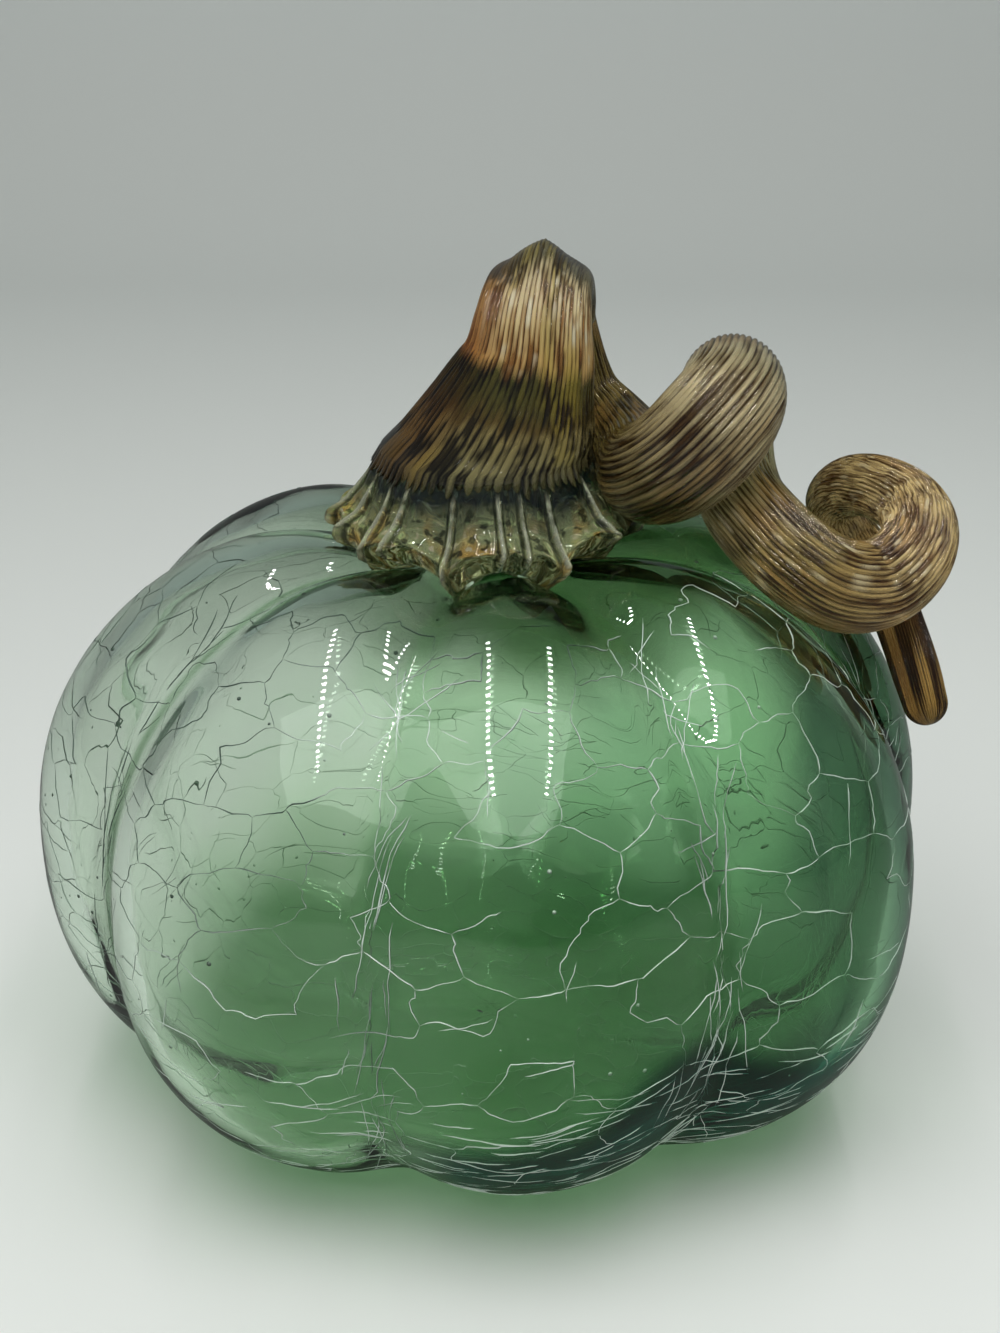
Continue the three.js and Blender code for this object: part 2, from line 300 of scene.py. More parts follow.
class Maker:
    def __init__(self, name, inputs):
        self.tree = bpy.data.node_groups.new(name, "GeometryNodeTree")
        face = self.tree.interface
        face.new_socket("Geometry", in_out="INPUT", socket_type="NodeSocketGeometry")
        face.new_socket("Geometry", in_out="OUTPUT", socket_type="NodeSocketGeometry")
        kinds = {float: "NodeSocketFloat", int: "NodeSocketInt", bpy.types.Object: "NodeSocketObject",
                 bpy.types.Material: "NodeSocketMaterial"}
        self.identifiers = {}
        for label, value in inputs.items():
            socket = face.new_socket(label, in_out="INPUT", socket_type=kinds[type(value)])
            self.identifiers[label] = socket.identifier
        self.inputs = inputs
        self.entry = self.tree.nodes.new("NodeGroupInput")
        self.exit = self.tree.nodes.new("NodeGroupOutput")

    # A named input as a wire
    def __getitem__(self, label):
        return Wire(self.tree, self.entry.outputs[label])

    # A node with its settings and its inputs, given by name or number; the wire is its first output
    def add(self, kind, values=None, output=0, **settings):
        node = self.tree.nodes.new(kind)
        for key, setting in settings.items():
            setattr(node, key, setting)
        for key, value in (values or {}).items():
            plug(self.tree, value, node.inputs[key])
        return Wire(self.tree, node.outputs[output])

    def vector(self, x, y, z):
        return self.add("ShaderNodeCombineXYZ", {0: x, 1: y, 2: z})

    def split(self, vector):
        node = self.add("ShaderNodeSeparateXYZ", {0: vector}).socket.node
        return [Wire(self.tree, output) for output in node.outputs]

    def blend(self, operation, *vectors):
        values = {i: vector for i, vector in enumerate(vectors)}
        return self.add("ShaderNodeVectorMath", values, operation=operation)

    def scale(self, vector, factor):
        return self.add("ShaderNodeVectorMath", {"Vector": vector, "Scale": factor}, operation="SCALE")

    def noise(self, vector, size, detail=1.0):
        values = {"Vector": vector, "Scale": 1 / size, "Detail": detail}
        return self.add("ShaderNodeTexNoise", values, "Fac", noise_dimensions="3D") * 2.0 - 1.0

    # A random number for each point, from low to high
    def chance(self, low, high, seed):
        return self.add("FunctionNodeRandomValue", {2: low, 3: high, "Seed": seed}, 1)

    def here(self):
        return self.add("GeometryNodeInputPosition")

    def move(self, shape, place):
        return self.add("GeometryNodeSetPosition", {"Geometry": shape, "Position": place})

    def shift(self, shape, offset):
        return self.add("GeometryNodeSetPosition", {"Geometry": shape, "Offset": offset})

    def merge(self, shape):
        return self.add("GeometryNodeMergeByDistance", {"Geometry": shape, "Distance": 1e-6})

    # The place nearest to this point on a shape's faces, edges or points
    def nearest(self, shape, element="FACES"):
        return self.add("GeometryNodeProximity", {0: shape}, 0, target_element=element)

    def distanceTo(self, shape, element):
        return self.add("GeometryNodeProximity", {0: shape}, 1, target_element=element)

    # The shape of an object that is a named input
    def shape(self, label):
        return self.add("GeometryNodeObjectInfo", {"Object": self[label]}, "Geometry",
                        transform_space="RELATIVE")

    # Normal of a shape at the place on it nearest to this point
    def normalOf(self, shape):
        values = {"Mesh": shape, "Value": self.add("GeometryNodeInputNormal")}
        return self.add("GeometryNodeSampleNearestSurface", values, data_type="FLOAT_VECTOR")

    def finish(self, geometry, material=None):
        if material is not None:
            geometry = self.add("GeometryNodeRealizeInstances", {"Geometry": geometry})
            geometry = self.add("GeometryNodeSetMaterial", {"Geometry": geometry, "Material": material})
        self.tree.links.new(geometry.socket, self.exit.inputs["Geometry"])

    # Runs the tree on an object and returns the result as a new object with a plain mesh
    def run(self, name, start=None):
        carrier = start or newObject(name + "_start", bpy.data.meshes.new(name + "_start"))
        modifier = carrier.modifiers.new(self.tree.name, "NODES")
        modifier.node_group = self.tree
        for label, value in self.inputs.items():
            modifier[self.identifiers[label]] = value
        scene = bpy.context.evaluated_depsgraph_get()
        mesh = bpy.data.meshes.new_from_object(carrier.evaluated_get(scene))
        mesh.name = name
        while mesh.materials and mesh.materials[0] is None:
            mesh.materials.pop(index=0)
        mesh.polygons.foreach_set("material_index", np.zeros(len(mesh.polygons), int))
        bpy.data.objects.remove(carrier)
        return newObject(name, mesh)


def triangles(piece):
    return sum(len(polygon.vertices) - 2 for polygon in piece.data.polygons)


# Camera, lights and backdrop

cameraLook = {
    "target": (1.63 * mm, -0.5 * mm, 74.5 * mm),
    "distance": 366.8 * mm,
    "pitch": 23.9,
    "lens": 59.41,
    "longSide": 36,
    "nearest": 10 * mm,
}
lampLook = {
    "tubeLeft": -0.12,
    "tubeRight": 0.17,
    "tubeFront": -0.50,
    "tubeBack": 0.24,
    "tubeHeight": 0.66,
    "tubeWidth": 0.018,
    "tubeLamps": 23,
    "tubeLit": 0.34,  # share of each lamp's stretch that glows
    "tubeGlow": 66,
    "ceilingWatts": 10,
    "ceilingSize": 1.1,
    "ceilingPlace": (-0.1, -0.6, 1.0),
    "skyColour": (0.80, 0.83, 0.84, 1),
    "skyStrength": 0.17,
}
backdropLook = {
    "halfWidth": 1.2,
    "front": -1.2,
    "back": 0.55,
    "bend": 0.35,
    "height": 1.6,
    "steps": 24,
    "floorColour": (0.80, 0.83, 0.79, 1),
    "wallColour": (0.82, 0.91, 0.905, 1),
    "wallFrom": 0.02,
    "wallTo": 0.30,
    "roughness": 0.55,
    # painted shade in what the glass mirrors
    "mirrored": (0.25, 0.25, 0.25, 1),
}


def placeCamera():
    look = cameraLook
    camera = newObject("camera", bpy.data.cameras.new("camera"))
    pitch = math.radians(look["pitch"])
    back = Vector((0, -math.cos(pitch), math.sin(pitch)))
    camera.location = Vector(look["target"]) + back * look["distance"]
    camera.rotation_euler = (math.pi / 2 - pitch, 0, 0)
    camera.data.lens = look["lens"]
    camera.data.sensor_width = look["longSide"]
    camera.data.clip_start = look["nearest"]
    bpy.context.scene.camera = camera


# Paper that runs on from the floor up the wall behind
def makeBackdrop():
    look = backdropLook
    turn = np.linspace(0, math.pi / 2, look["steps"])
    y = look["back"] + look["bend"] * np.sin(turn)
    z = look["bend"] * (1 - np.cos(turn))
    profileY = np.concatenate([[look["front"]], y, [y[-1]]])
    profileZ = np.concatenate([[0], z, [look["height"]]])
    sides = (look["halfWidth"], -look["halfWidth"])
    vertices = [(x, y, z) for y, z in zip(profileY, profileZ) for x in sides]
    faces = [(i, i + 1, i + 3, i + 2) for i in range(0, len(vertices) - 2, 2)]
    mesh = bpy.data.meshes.new("backdrop")
    mesh.from_pydata(vertices, [], faces)
    mesh.shade_smooth()
    material, shader = newMaterial("backdrop paper")
    shader.inputs["Roughness"].default_value = look["roughness"]
    tree = material.node_tree
    height = partsOf(tree, objectPlace(tree))[2]
    upWall = smooth(tree, height, look["wallFrom"], look["wallTo"])
    colour = mixColours(tree, upWall, look["floorColour"], look["wallColour"])

    # painted shade in reflections: the paper is darker where the glass mirrors it
    path = tree.nodes.new("ShaderNodeLightPath")
    mirrored = Wire(tree, path.outputs["Is Glossy Ray"]) - Wire(tree, path.outputs["Is Transmission Ray"])
    mirrored.socket.node.use_clamp = True
    colour = mixColours(tree, mirrored, colour, look["mirrored"], "MULTIPLY")
    plug(tree, colour, shader.inputs["Base Color"])
    mesh.materials.append(material)
    newObject("backdrop", mesh)


# Two rows of small square lamps, which the lobes mirror as dotted lines
def makeLampRows():
    look = lampLook
    pitch = (look["tubeBack"] - look["tubeFront"]) / look["tubeLamps"]
    vertices, faces = [], []
    for x in (look["tubeLeft"], look["tubeRight"]):
        for i in range(look["tubeLamps"]):
            y = look["tubeFront"] + (i + 0.5) * pitch
            start = len(vertices)
            for across, along in ((-1, -1), (-1, 1), (1, 1), (1, -1)):
                vertices.append((x + across * look["tubeWidth"] / 2, y + along * pitch * look["tubeLit"] / 2,
                                 look["tubeHeight"]))
            faces.append(tuple(range(start, start + 4)))
    mesh = bpy.data.meshes.new("lamp rows")
    mesh.from_pydata(vertices, [], faces)
    material, _ = newMaterial("lamp")
    nodes = material.node_tree.nodes
    glow = nodes.new("ShaderNodeEmission")
    glow.inputs["Strength"].default_value = look["tubeGlow"]
    material.node_tree.links.new(glow.outputs[0], nodes["Material Output"].inputs["Surface"])
    mesh.materials.append(material)
    rows = newObject("lamp rows", mesh)
    rows.visible_camera = False


def makeLights():
    look = lampLook
    makeLampRows()
    ceiling = newObject("ceiling", bpy.data.lights.new("ceiling", "AREA"))
    ceiling.data.energy = look["ceilingWatts"]
    ceiling.data.size = look["ceilingSize"]
    ceiling.location = look["ceilingPlace"]
    ceiling.visible_glossy = False
    world = bpy.data.worlds.new("sky")
    world.use_nodes = True
    sky = world.node_tree.nodes["Background"]
    sky.inputs["Color"].default_value = look["skyColour"]
    sky.inputs["Strength"].default_value = look["skyStrength"]
    bpy.context.scene.world = world


placeCamera()
makeBackdrop()
makeLights()
print("camera, lights and backdrop placed")


# Body: the same rules as the frame's own solid

bodySize = {
    "radius": 75 * mm,
    "crownHeight": 55.8 * mm,
    "bellyDepth": 55.8 * mm,
    "crownSquareness": 2.16,
    "bellySquareness": 2.41,
    "lobeCount": 8.0,
    "frontLobe": math.radians(8.6),
    "creaseDepth": 7.65 * mm,
    "creaseSharpness": 0.684,
    "creaseFade": 0.8,
    "creaseDrop": 4.6 * mm,
    "creaseLift": 4.4 * mm,
    "topDimpleDepth": 12 * mm,
    "topDimpleSpread": 25 * mm,
    "baseKickDepth": 10 * mm,
    "baseKickSpread": 25 * mm,
}
lobeSwell = [-1.1 * mm, 2.5 * mm, -1.05 * mm, 0.0, 0.0, 0.0, 0.0, 0.75 * mm]
bodyPlan = {
    "neckRadius": 12.5 * mm,
    "contactRadius": 30 * mm,
    "contactWear": 0.4 * mm,
    "flatLift": 0.35,  # share of the creases' lift under the base, where there are none
}
skinGrid = {"rows": 126, "columns": 321}
wallLook = {
    "wall": 3 * mm,
    "rimTaper": 4 * mm,
    "blur": 60,
    "frontBlur": 0.05,
    "innerBlur": 0.2,
    "backBlur": 0.36,
    "backFrom": 0.2,
    "backOver": 25 * mm,
    "flatFrom": 36 * mm,
    "flatTo": 24 * mm,
    "baseFrom": 52 * mm,
    "baseTo": 42 * mm,
    "baseDrop": 0.9 * mm,
    "baseHeight": 30 * mm,
    "waveDepth": 0.16 * mm,
    "waveSize": 20 * mm,
    "innerWaveDepth": 0.30 * mm,
    "innerWaveSize": 17 * mm,
    "grooveDepth": 0.025 * mm,
    "grooveWidth": 0.5 * mm,
}


# Outer skin of the body: x, y and z at an azimuth and a polar angle from the top
def bodySkin(azimuth, polar, size):
    down = cosine(polar)
    below = isLess(down, 0.0)
    above = 1.0 - below
    squareness = size["crownSquareness"] * above + size["bellySquareness"] * below
    power = 2.0 / squareness
    radius = size["radius"] * larger(sine(polar) - 1e-6, 0.0) ** power
    rise = larger(absolute(down), 1e-9) ** power
    turn = (azimuth - size["frontLobe"]) * (size["lobeCount"] / 2.0)
    ridge = absolute(cosine(turn))
    crease = 1.0 - ridge ** size["creaseSharpness"]
    lobe = nearestWhole((azimuth - size["frontLobe"]) * size["lobeCount"] / fullTurn)
    swell = pick(lobeSwell, wrapped(lobe, size["lobeCount"])) * ridge
    pinch = size["creaseDepth"] / size["radius"] * crease * (radius / size["radius"]) ** size["creaseFade"]
    lobed = radius * (1.0 - pinch) * (1.0 + swell / size["radius"])
    dimple = size["topDimpleDepth"] * bell(radius / size["topDimpleSpread"])
    kick = size["baseKickDepth"] * bell(radius / size["baseKickSpread"])
    crown = rise * (size["crownHeight"] - size["creaseDrop"] * crease) - dimple
    belly = rise * (size["creaseLift"] * crease - size["bellyDepth"]) + kick
    return lobed * sine(azimuth), lobed * cosine(azimuth) * -1.0, crown * above + belly * below


def polarOf(radius, above):
    squareness = bodySize["crownSquareness" if above else "bellySquareness"]
    polar = math.asin((radius / bodySize["radius"]) ** (squareness / 2))
    return polar if above else math.pi - polar


# Height of the crown at a radius and azimuth, in the body's own frame
def crownAt(radius, azimuth):
    guess = radius + 0 * azimuth
    power = bodySize["crownSquareness"] / 2
    for _ in range(4):
        x, y, _ = bodySkin(azimuth, np.arcsin((guess / bodySize["radius"]) ** power), bodySize)
        guess = guess * radius / np.hypot(x, y)
    return bodySkin(azimuth, np.arcsin((guess / bodySize["radius"]) ** power), bodySize)[2]


contactPolar = polarOf(bodyPlan["contactRadius"], False)
standingHeight = float(bodySkin(bodySize["frontLobe"], contactPolar, bodySize)[2]) + bodyPlan["contactWear"]

# The body's axis stands where the frame's own body has it
rim = bodySize["frontLobe"] + np.linspace(0, fullTurn, 64, endpoint=False)
rimX, rimY, _ = bodySkin(rim, math.pi / 2 + 0 * rim, bodySize)
bodyLow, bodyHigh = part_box("glass_body")
bodyCentre = np.array([
    (bodyLow.x + bodyHigh.x - rimX.max() - rimX.min()) / 2,
    (bodyLow.y + bodyHigh.y - rimY.max() - rimY.min()) / 2,
    -standingHeight,
])
print("body centre", bodyCentre)


# Places on the body's skin in the shared frame, as a wire
def skinPlace(maker, azimuth, polar, lowest=None):
    x, y, z = bodySkin(azimuth, polar, maker)
    if lowest is not None:
        z = larger(z, lowest)
    return maker.blend("ADD", maker.vector(x, y, z), tuple(bodyCentre))


# Grid from the pole under the base to the neck, wrapped onto the body's skin
def skinTree():
    maker = Maker("lobed skin", {**bodySize, **skinGrid})
    grid = maker.add("GeometryNodeMeshGrid", {"Vertices X": maker["rows"], "Vertices Y": maker["columns"]})
    x, y, _ = maker.split(maker.here())
    azimuth = (y + 0.5) * fullTurn + maker["frontLobe"]
    polar = (x + 0.5) * (polarOf(bodyPlan["neckRadius"], True) - math.pi) + math.pi
    skin = maker.merge(maker.move(grid, skinPlace(maker, azimuth, polar, standingHeight)))
    skin = maker.add("GeometryNodeFlipFaces", {"Mesh": skin})
    maker.finish(maker.add("GeometryNodeSetShadeSmooth", {"Geometry": skin}))
    return maker


skin = skinTree().run("body_skin")
print("body skin:", len(skin.data.vertices), "points")


# Crackle: a web of jittered cells over the skin, and stray cuts in bands of their own

webLook = {
    "rows": 20,
    "columns": 30,
    "jitter": 0.85,
    "missing": 0.15,
    "wander": 0.22,
    "wanderSize": 0.55,
    "fineWander": 0.045,
    "fineWanderSize": 0.16,
    "lowest": math.radians(171),
    "highest": math.radians(27),
    "crowding": 1.45,
    "finish": 3,
    "seed": 11,
}
strayLook = {  # "near" keeps cuts to the creases, "left" is the share that the left side gets
    "under": {"count": 1750, "length": 12 * mm, "low": 11 * mm, "high": 35 * mm, "upright": 0.0, "seed": 5,
              "near": 0.0, "left": 0.3},
    "flanks": {"count": 260, "length": 15 * mm, "low": 18 * mm, "high": 40 * mm, "upright": 0.1, "seed": 6,
               "near": 0.0, "left": 0.6},
    "creases": {"count": 2400, "length": 15 * mm, "low": 12 * mm, "high": 93 * mm, "upright": 1.0, "seed": 8,
                "near": 0.8, "left": 1.0},
    "sides": {"count": 110, "length": 11 * mm, "low": 30 * mm, "high": 88 * mm, "upright": 0.5, "seed": 21,
              "near": 0.0, "left": 1.0},
}
cutLook = {
    "crowd": 18.0,  # cuts to the square metre for each one in the count
    "tilt": (-0.22, 0.45),
    "lengths": (0.35, 1.3),
    "points": 9,
    "shake": 2.6 * mm,
    "shakeSize": 6 * mm,
    "leftReach": 45 * mm,
}
ribbonLook = {
    "depth": 0.15 * mm,
    "inset": 0.10 * mm,
    "thickness": 0.10 * mm,
    "lean": 0.3,
    "leanSize": 9 * mm,
    "uneven": 0.9,
    "endWidth": 0.35,
    "midWidth": 0.65,
    "leastWidth": 0.15,
}
ribbonGrain = 6 * mm  # size of the ribbons' uneven stretches


def webTree():
    maker = Maker("crackle web", {**bodySize, **webLook})
    rows, columns, seed = maker["rows"], maker["columns"], maker["seed"]
    grid = maker.add("GeometryNodeMeshGrid", {"Vertices X": rows, "Vertices Y": columns})

    # every other row shifts by half a cell, then each corner moves by chance
    x, y, _ = maker.split(maker.here())
    odd = wrapped(nearestWhole((x + 0.5) * (rows - 1.0)), 2.0)
    chanceX, chanceY = maker.chance(-0.5, 0.5, seed), maker.chance(-0.5, 0.5, seed + 1.0)
    moveX, moveY = chanceX * maker["jitter"] / rows, (odd * 0.5 + chanceY * maker["jitter"]) / columns
    web = maker.shift(grid, maker.vector(moveX, moveY, 0.0))
    web = maker.add("GeometryNodeTriangulate", {"Mesh": web})
    web = maker.add("GeometryNodeDualMesh", {"Mesh": web})
    web = maker.add("GeometryNodeDeleteGeometry", {"Geometry": web}, domain="FACE", mode="ONLY_FACE")
    gone = maker.add("FunctionNodeRandomValue", {"Probability": maker["missing"], "Seed": seed + 2.0}, 3,
                     data_type="BOOLEAN")
    web = maker.add("GeometryNodeDeleteGeometry", {"Geometry": web, "Selection": gone}, domain="EDGE",
                    mode="EDGE_FACE")
    web = maker.add("GeometryNodeSubdivideMesh", {"Mesh": web, "Level": maker["finish"]})

    # the lines wander, across and along by two parts of one noise, then lie on the skin
    x, y, _ = maker.split(maker.here())
    flat = maker.vector(x * rows, y * columns, 0.0)
    shiftX, shiftY = 0.0, 0.0
    for amount, size in (("wander", "wanderSize"), ("fineWander", "fineWanderSize")):
        place = maker.scale(flat, 1.0 / maker[size])
        shiftX = shiftX + maker.noise(place, 1.0) * maker[amount]
        shiftY = shiftY + maker.noise(maker.blend("ADD", place, (50.0, 50.0, 7.0)), 1.0) * maker[amount]
    share = larger(x + 0.5 + shiftX / rows, 0.0) ** maker["crowding"]
    polar = maker["lowest"] + (maker["highest"] - maker["lowest"]) * share
    azimuth = (y + 0.5 + shiftY / columns) * fullTurn + math.pi
    maker.finish(maker.move(web, skinPlace(maker, azimuth, polar)))
    return maker


web = webTree().run("crack_web")
print("crack web:", len(web.data.vertices), "points", len(web.data.edges), "edges")


# Short cuts scattered over a band of the skin, level or upright, as open lines
def strayTree(look):
    maker = Maker("stray cuts", {**look, "skin": skin})
    body = maker.shape("skin")
    seed, upright, near = maker["seed"], maker["upright"], maker["near"]
    x, y, z = maker.split(maker.here())
    right, forward = x - bodyCentre[0], bodyCentre[1] - y
    azimuth = right.math("ARCTAN2", right, forward)
    ridge = absolute(cosine((azimuth - bodySize["frontLobe"]) * (bodySize["lobeCount"] / 2)))
    inBand = (1.0 - isLess(z, maker["low"])) * isLess(z, maker["high"])
    inBand = inBand * isLess(ridge, 1.01 - near) * larger(1.0 - isLess(0.0, y) * near * 2.0, 0.0)
    fromLeft = between((x + cutLook["leftReach"]) / cutLook["leftReach"], 0.0, 1.0)
    inBand = inBand * larger(fromLeft, maker["left"])
    values = {"Mesh": body, "Density": maker["count"] * cutLook["crowd"] * inBand, "Seed": seed}
    points = maker.add("GeometryNodeDistributePointsOnFaces", values)
    normal = Wire(maker.tree, points.socket.node.outputs["Normal"])
    level = maker.blend("CROSS_PRODUCT", (0.0, 0.0, 1.0), normal)
    steep = maker.blend("CROSS_PRODUCT", normal, level)
    turned = isLess(maker.chance(0.0, 1.0, seed + 3.0), upright)
    tilt = maker.chance(*cutLook["tilt"], seed + 4.0)
    heading = maker.blend("ADD", maker.scale(level, 1.0 - turned + tilt * turned),
                          maker.scale(steep, turned + tilt * (1.0 - turned)))
    facing = maker.add("FunctionNodeAxesToRotation", {"Primary Axis": normal, "Secondary Axis": heading},
                       primary_axis="Z", secondary_axis="X")
    line = maker.add("GeometryNodeCurvePrimitiveLine", {"Start": (-0.5, 0, 0), "End": (0.5, 0, 0)})
    line = maker.add("GeometryNodeResampleCurve", {"Curve": line, "Count": cutLook["points"]})
    size = maker.chance(*cutLook["lengths"], seed + 5.0) * maker["length"]
    cuts = maker.add("GeometryNodeInstanceOnPoints", {"Points": points, "Instance": line, "Rotation": facing,
                                                      "Scale": maker.vector(size, size, size)})
    cuts = maker.add("GeometryNodeRealizeInstances", {"Geometry": cuts})
    values = {"Vector": maker.here(), "Scale": 1 / cutLook["shakeSize"], "Detail": 2.0}
    shake = maker.add("ShaderNodeTexNoise", values, "Color", noise_dimensions="3D")
    cuts = maker.shift(cuts, maker.scale(maker.blend("SUBTRACT", shake, (0.5, 0.5, 0.5)), cutLook["shake"]))
    cuts = maker.move(cuts, maker.nearest(body))
    maker.finish(maker.add("GeometryNodeCurveToMesh", {"Curve": cuts}))
    return maker


# Thin closed slits along the lines, sunk in the wall and leaning this way and that
def ribbonTree(wall, material):
    maker = Maker("crack ribbons", {**ribbonLook, "wall": wall, "material": material})
    body = maker.shape("wall")
    curve = maker.add("GeometryNodeMeshToCurve", {"Mesh": maker["Geometry"]})
    curve = maker.move(curve, maker.nearest(body))
    normal = maker.normalOf(body)
    curve = maker.add("GeometryNodeSetCurveNormal", {"Curve": curve, "Normal": normal}, mode="FREE")
    lean = maker.noise(maker.here(), maker["leanSize"]) * maker["lean"] * math.pi
    curve = maker.add("GeometryNodeSetCurveTilt", {"Curve": curve, "Tilt": lean})
    share = maker.add("GeometryNodeSplineParameter")
    ends = smaller(share * (1.0 - share) * 12.0, 1.0)
    wide = maker.noise(maker.here(), ribbonGrain, 2.0) * maker["uneven"] + maker["uneven"]
    wide = wide * (maker["endWidth"] + maker["midWidth"] * ends)
    curve = maker.shift(curve, maker.scale(normal, -1.0 * maker["inset"]))
    slit = maker.add("GeometryNodeCurvePrimitiveQuadrilateral", {"Width": maker["depth"] * 2.0,
                                                                 "Height": maker["thickness"]})
    ribbons = maker.add("GeometryNodeCurveToMesh", {"Curve": curve, "Profile Curve": slit, "Fill Caps": True,
                                                    "Scale": larger(wide, maker["leastWidth"])})
    maker.finish(ribbons, maker["material"])
    return maker


seedLook = {"density": 3400.0, "least": 0.16 * mm, "most": 0.42 * mm, "deep": 1.3 * mm, "seed": 4}


# Small bubbles in the wall
def seedTree(wall, material):
    maker = Maker("seed bubbles", {**seedLook, "skin": skin, "wall": wall, "material": material})
    values = {"Mesh": maker.shape("skin"), "Density": maker["density"], "Seed": maker["seed"]}
    points = maker.add("GeometryNodeDistributePointsOnFaces", values)
    body = maker.shape("wall")
    points = maker.move(points, maker.nearest(body))
    points = maker.shift(points, maker.scale(maker.normalOf(body), -1.0 * maker["deep"]))
    size = maker.chance(maker["least"], maker["most"], 1)
    ball = maker.add("GeometryNodeMeshIcoSphere", {"Radius": 1.0, "Subdivisions": 1})
    balls = maker.add("GeometryNodeInstanceOnPoints", {"Points": points, "Instance": ball,
                                                       "Scale": maker.vector(size, size, size)})
    balls = maker.add("GeometryNodeRealizeInstances", {"Geometry": balls})
    maker.finish(maker.add("GeometryNodeSetShadeSmooth", {"Geometry": balls}), maker["material"])
    return maker


# Rounds the creases off, and leaves the neck's rim where it is
def blurred(maker, geometry, weight):
    values = {"Value": maker.here(), "Iterations": maker["blur"], "Weight": weight}
    return maker.move(geometry, maker.add("GeometryNodeBlurAttribute", values, data_type="FLOAT_VECTOR"))


# Wall with an outer side that waves and dips along the cracks, and a wavier inner side
def shellTree(lines, material):
    maker = Maker("body wall", {**wallLook, "skin": skin, "lines": lines, "material": material})
    body = maker.shape("skin")
    place = maker.here()
    normal = maker.add("GeometryNodeInputNormal")
    shared = isLess(1.0, maker.add("GeometryNodeInputMeshEdgeNeighbors"))
    rim = maker.add("GeometryNodeDeleteGeometry", {"Geometry": body, "Selection": shared}, domain="EDGE",
                    mode="EDGE_FACE")
    taper = between(maker.distanceTo(rim, "EDGES") / maker["rimTaper"], 0.0, 1.0)
    near = maker.distanceTo(maker.shape("lines"), "EDGES")
    groove = bell(near / maker["grooveWidth"]) * maker["grooveDepth"]
    wave = maker.noise(place, maker["waveSize"]) * maker["waveDepth"]
    x, y, z = maker.split(place)
    radius = (x * x + y * y) ** 0.5
    low = isLess(z, maker["baseHeight"])
    base, flat = (between((maker[start] - radius) / (maker[start] - maker[end]), 0.0, 1.0) * low
                  for start, end in (("baseFrom", "baseTo"), ("flatFrom", "flatTo")))
    back = between(y / maker["backOver"] + maker["backFrom"], 0.0, 1.0) * maker["backBlur"]
    back = larger(back, base)

    # the kick-up under the base has no creases
    power = bodySize["bellySquareness"]
    depth = bodySize["creaseLift"] * bodyPlan["flatLift"] - bodySize["bellyDepth"]
    smoothZ = (1.0 - (radius / bodySize["radius"]) ** power) ** (1 / power) * depth
    smoothZ = smoothZ + bell(radius / bodySize["baseKickSpread"]) * bodySize["baseKickDepth"] + bodyCentre[2]
    body = maker.move(body, maker.vector(x, y, z + (smoothZ - z) * flat))
    outer = blurred(maker, body, taper * larger(back, maker["frontBlur"]))
    outer = maker.shift(outer, maker.scale(normal, (wave - groove) * taper))
    outerX, outerY, outerZ = maker.split(maker.here())
    outer = maker.move(outer, maker.vector(outerX, outerY, larger(outerZ - base * maker["baseDrop"], 0.0)))
    innerPlace = maker.blend("ADD", place, (3.0, 1.0, 2.0))  # another part of the noise
    deep = maker.noise(innerPlace, maker["innerWaveSize"]) * maker["innerWaveDepth"]
    inner = blurred(maker, body, taper * larger(back, maker["innerBlur"]))
    inner = maker.shift(inner, maker.scale(normal, (deep - maker["wall"]) * taper))
    inner = maker.add("GeometryNodeFlipFaces", {"Mesh": inner})
    both = maker.tree.nodes.new("GeometryNodeJoinGeometry")
    for half in (inner, outer):
        maker.tree.links.new(half.socket, both.inputs[0])
    wall = maker.merge(Wire(maker.tree, both.outputs[0]))
    wall = maker.add("GeometryNodeSetShadeSmooth", {"Geometry": wall})
    maker.finish(wall, maker["material"])
    return maker


# Materials of the body

bodyGlassLook = {
    "tints": [
        (0.10, (0.95, 0.97, 0.94, 1)), (0.38, (0.92, 0.98, 0.91, 1)), (0.62, (0.66, 0.90, 0.64, 1)),
        (0.85, (0.46, 0.76, 0.48, 1)), (1.00, (0.34, 0.62, 0.38, 1)),
    ],
    # painted shade under the right-hand lobes, where the floor beneath is shadowed, over glass that is
    # thicker there
    "bottom": (0.003, 0.075, 0.05, 1),
    # painted shade along the right-hand edge
    "rightRim": (0.10, 0.20, 0.14, 1),
    # painted shade where the foot sits on the shoulder
    "shoulder": (0.09, 0.19, 0.07, 1),
    "shadowTint": (0.86, 0.90, 0.85, 1),
    "lowShadowTint": (0.50, 0.65, 0.50, 1),
    "bulk": (0.28, 0.60, 0.34, 1),
    "bulkDensity": 38,
    "gloss": 0.42,
}
bodyMasks = {  # where each of those colours begins and where it is full
    "rightRimX": (50 * mm, 64 * mm),
    "rightRimY": (-58 * mm, -36 * mm),
    "bottomRise": 28 * mm,
    "bottomBulge": 12 * mm,
    "bottomBulgeX": 30 * mm,
    "bottomCloud": 20 * mm,
    "bottomZ": (4 * mm, -5 * mm),
    "bottomX": (-20 * mm, -4 * mm),
    "bottomY": (-12 * mm, -30 * mm),
    "bottomRadius": (50 * mm, 58 * mm),
    "shoulderReach": 0.14,
    "shoulderCloud": 60 * mm,
    "shoulderRadius": (59 * mm, 34 * mm),
    "shoulderZ": (56 * mm, 72 * mm),
    "shoulderX": (-45 * mm, 5 * mm),
    "shoulderLeft": 0.2,
    "shoulderRight": 0.75,
    "shadowZ": (32 * mm, 12 * mm),
}
greeningLook = {"Rightward": 5.0, "Downward": 6.0, "Clouds": 0.4}
greeningPlace = {"middle": 0.52, "height": 50 * mm, "cloudScale": 24}


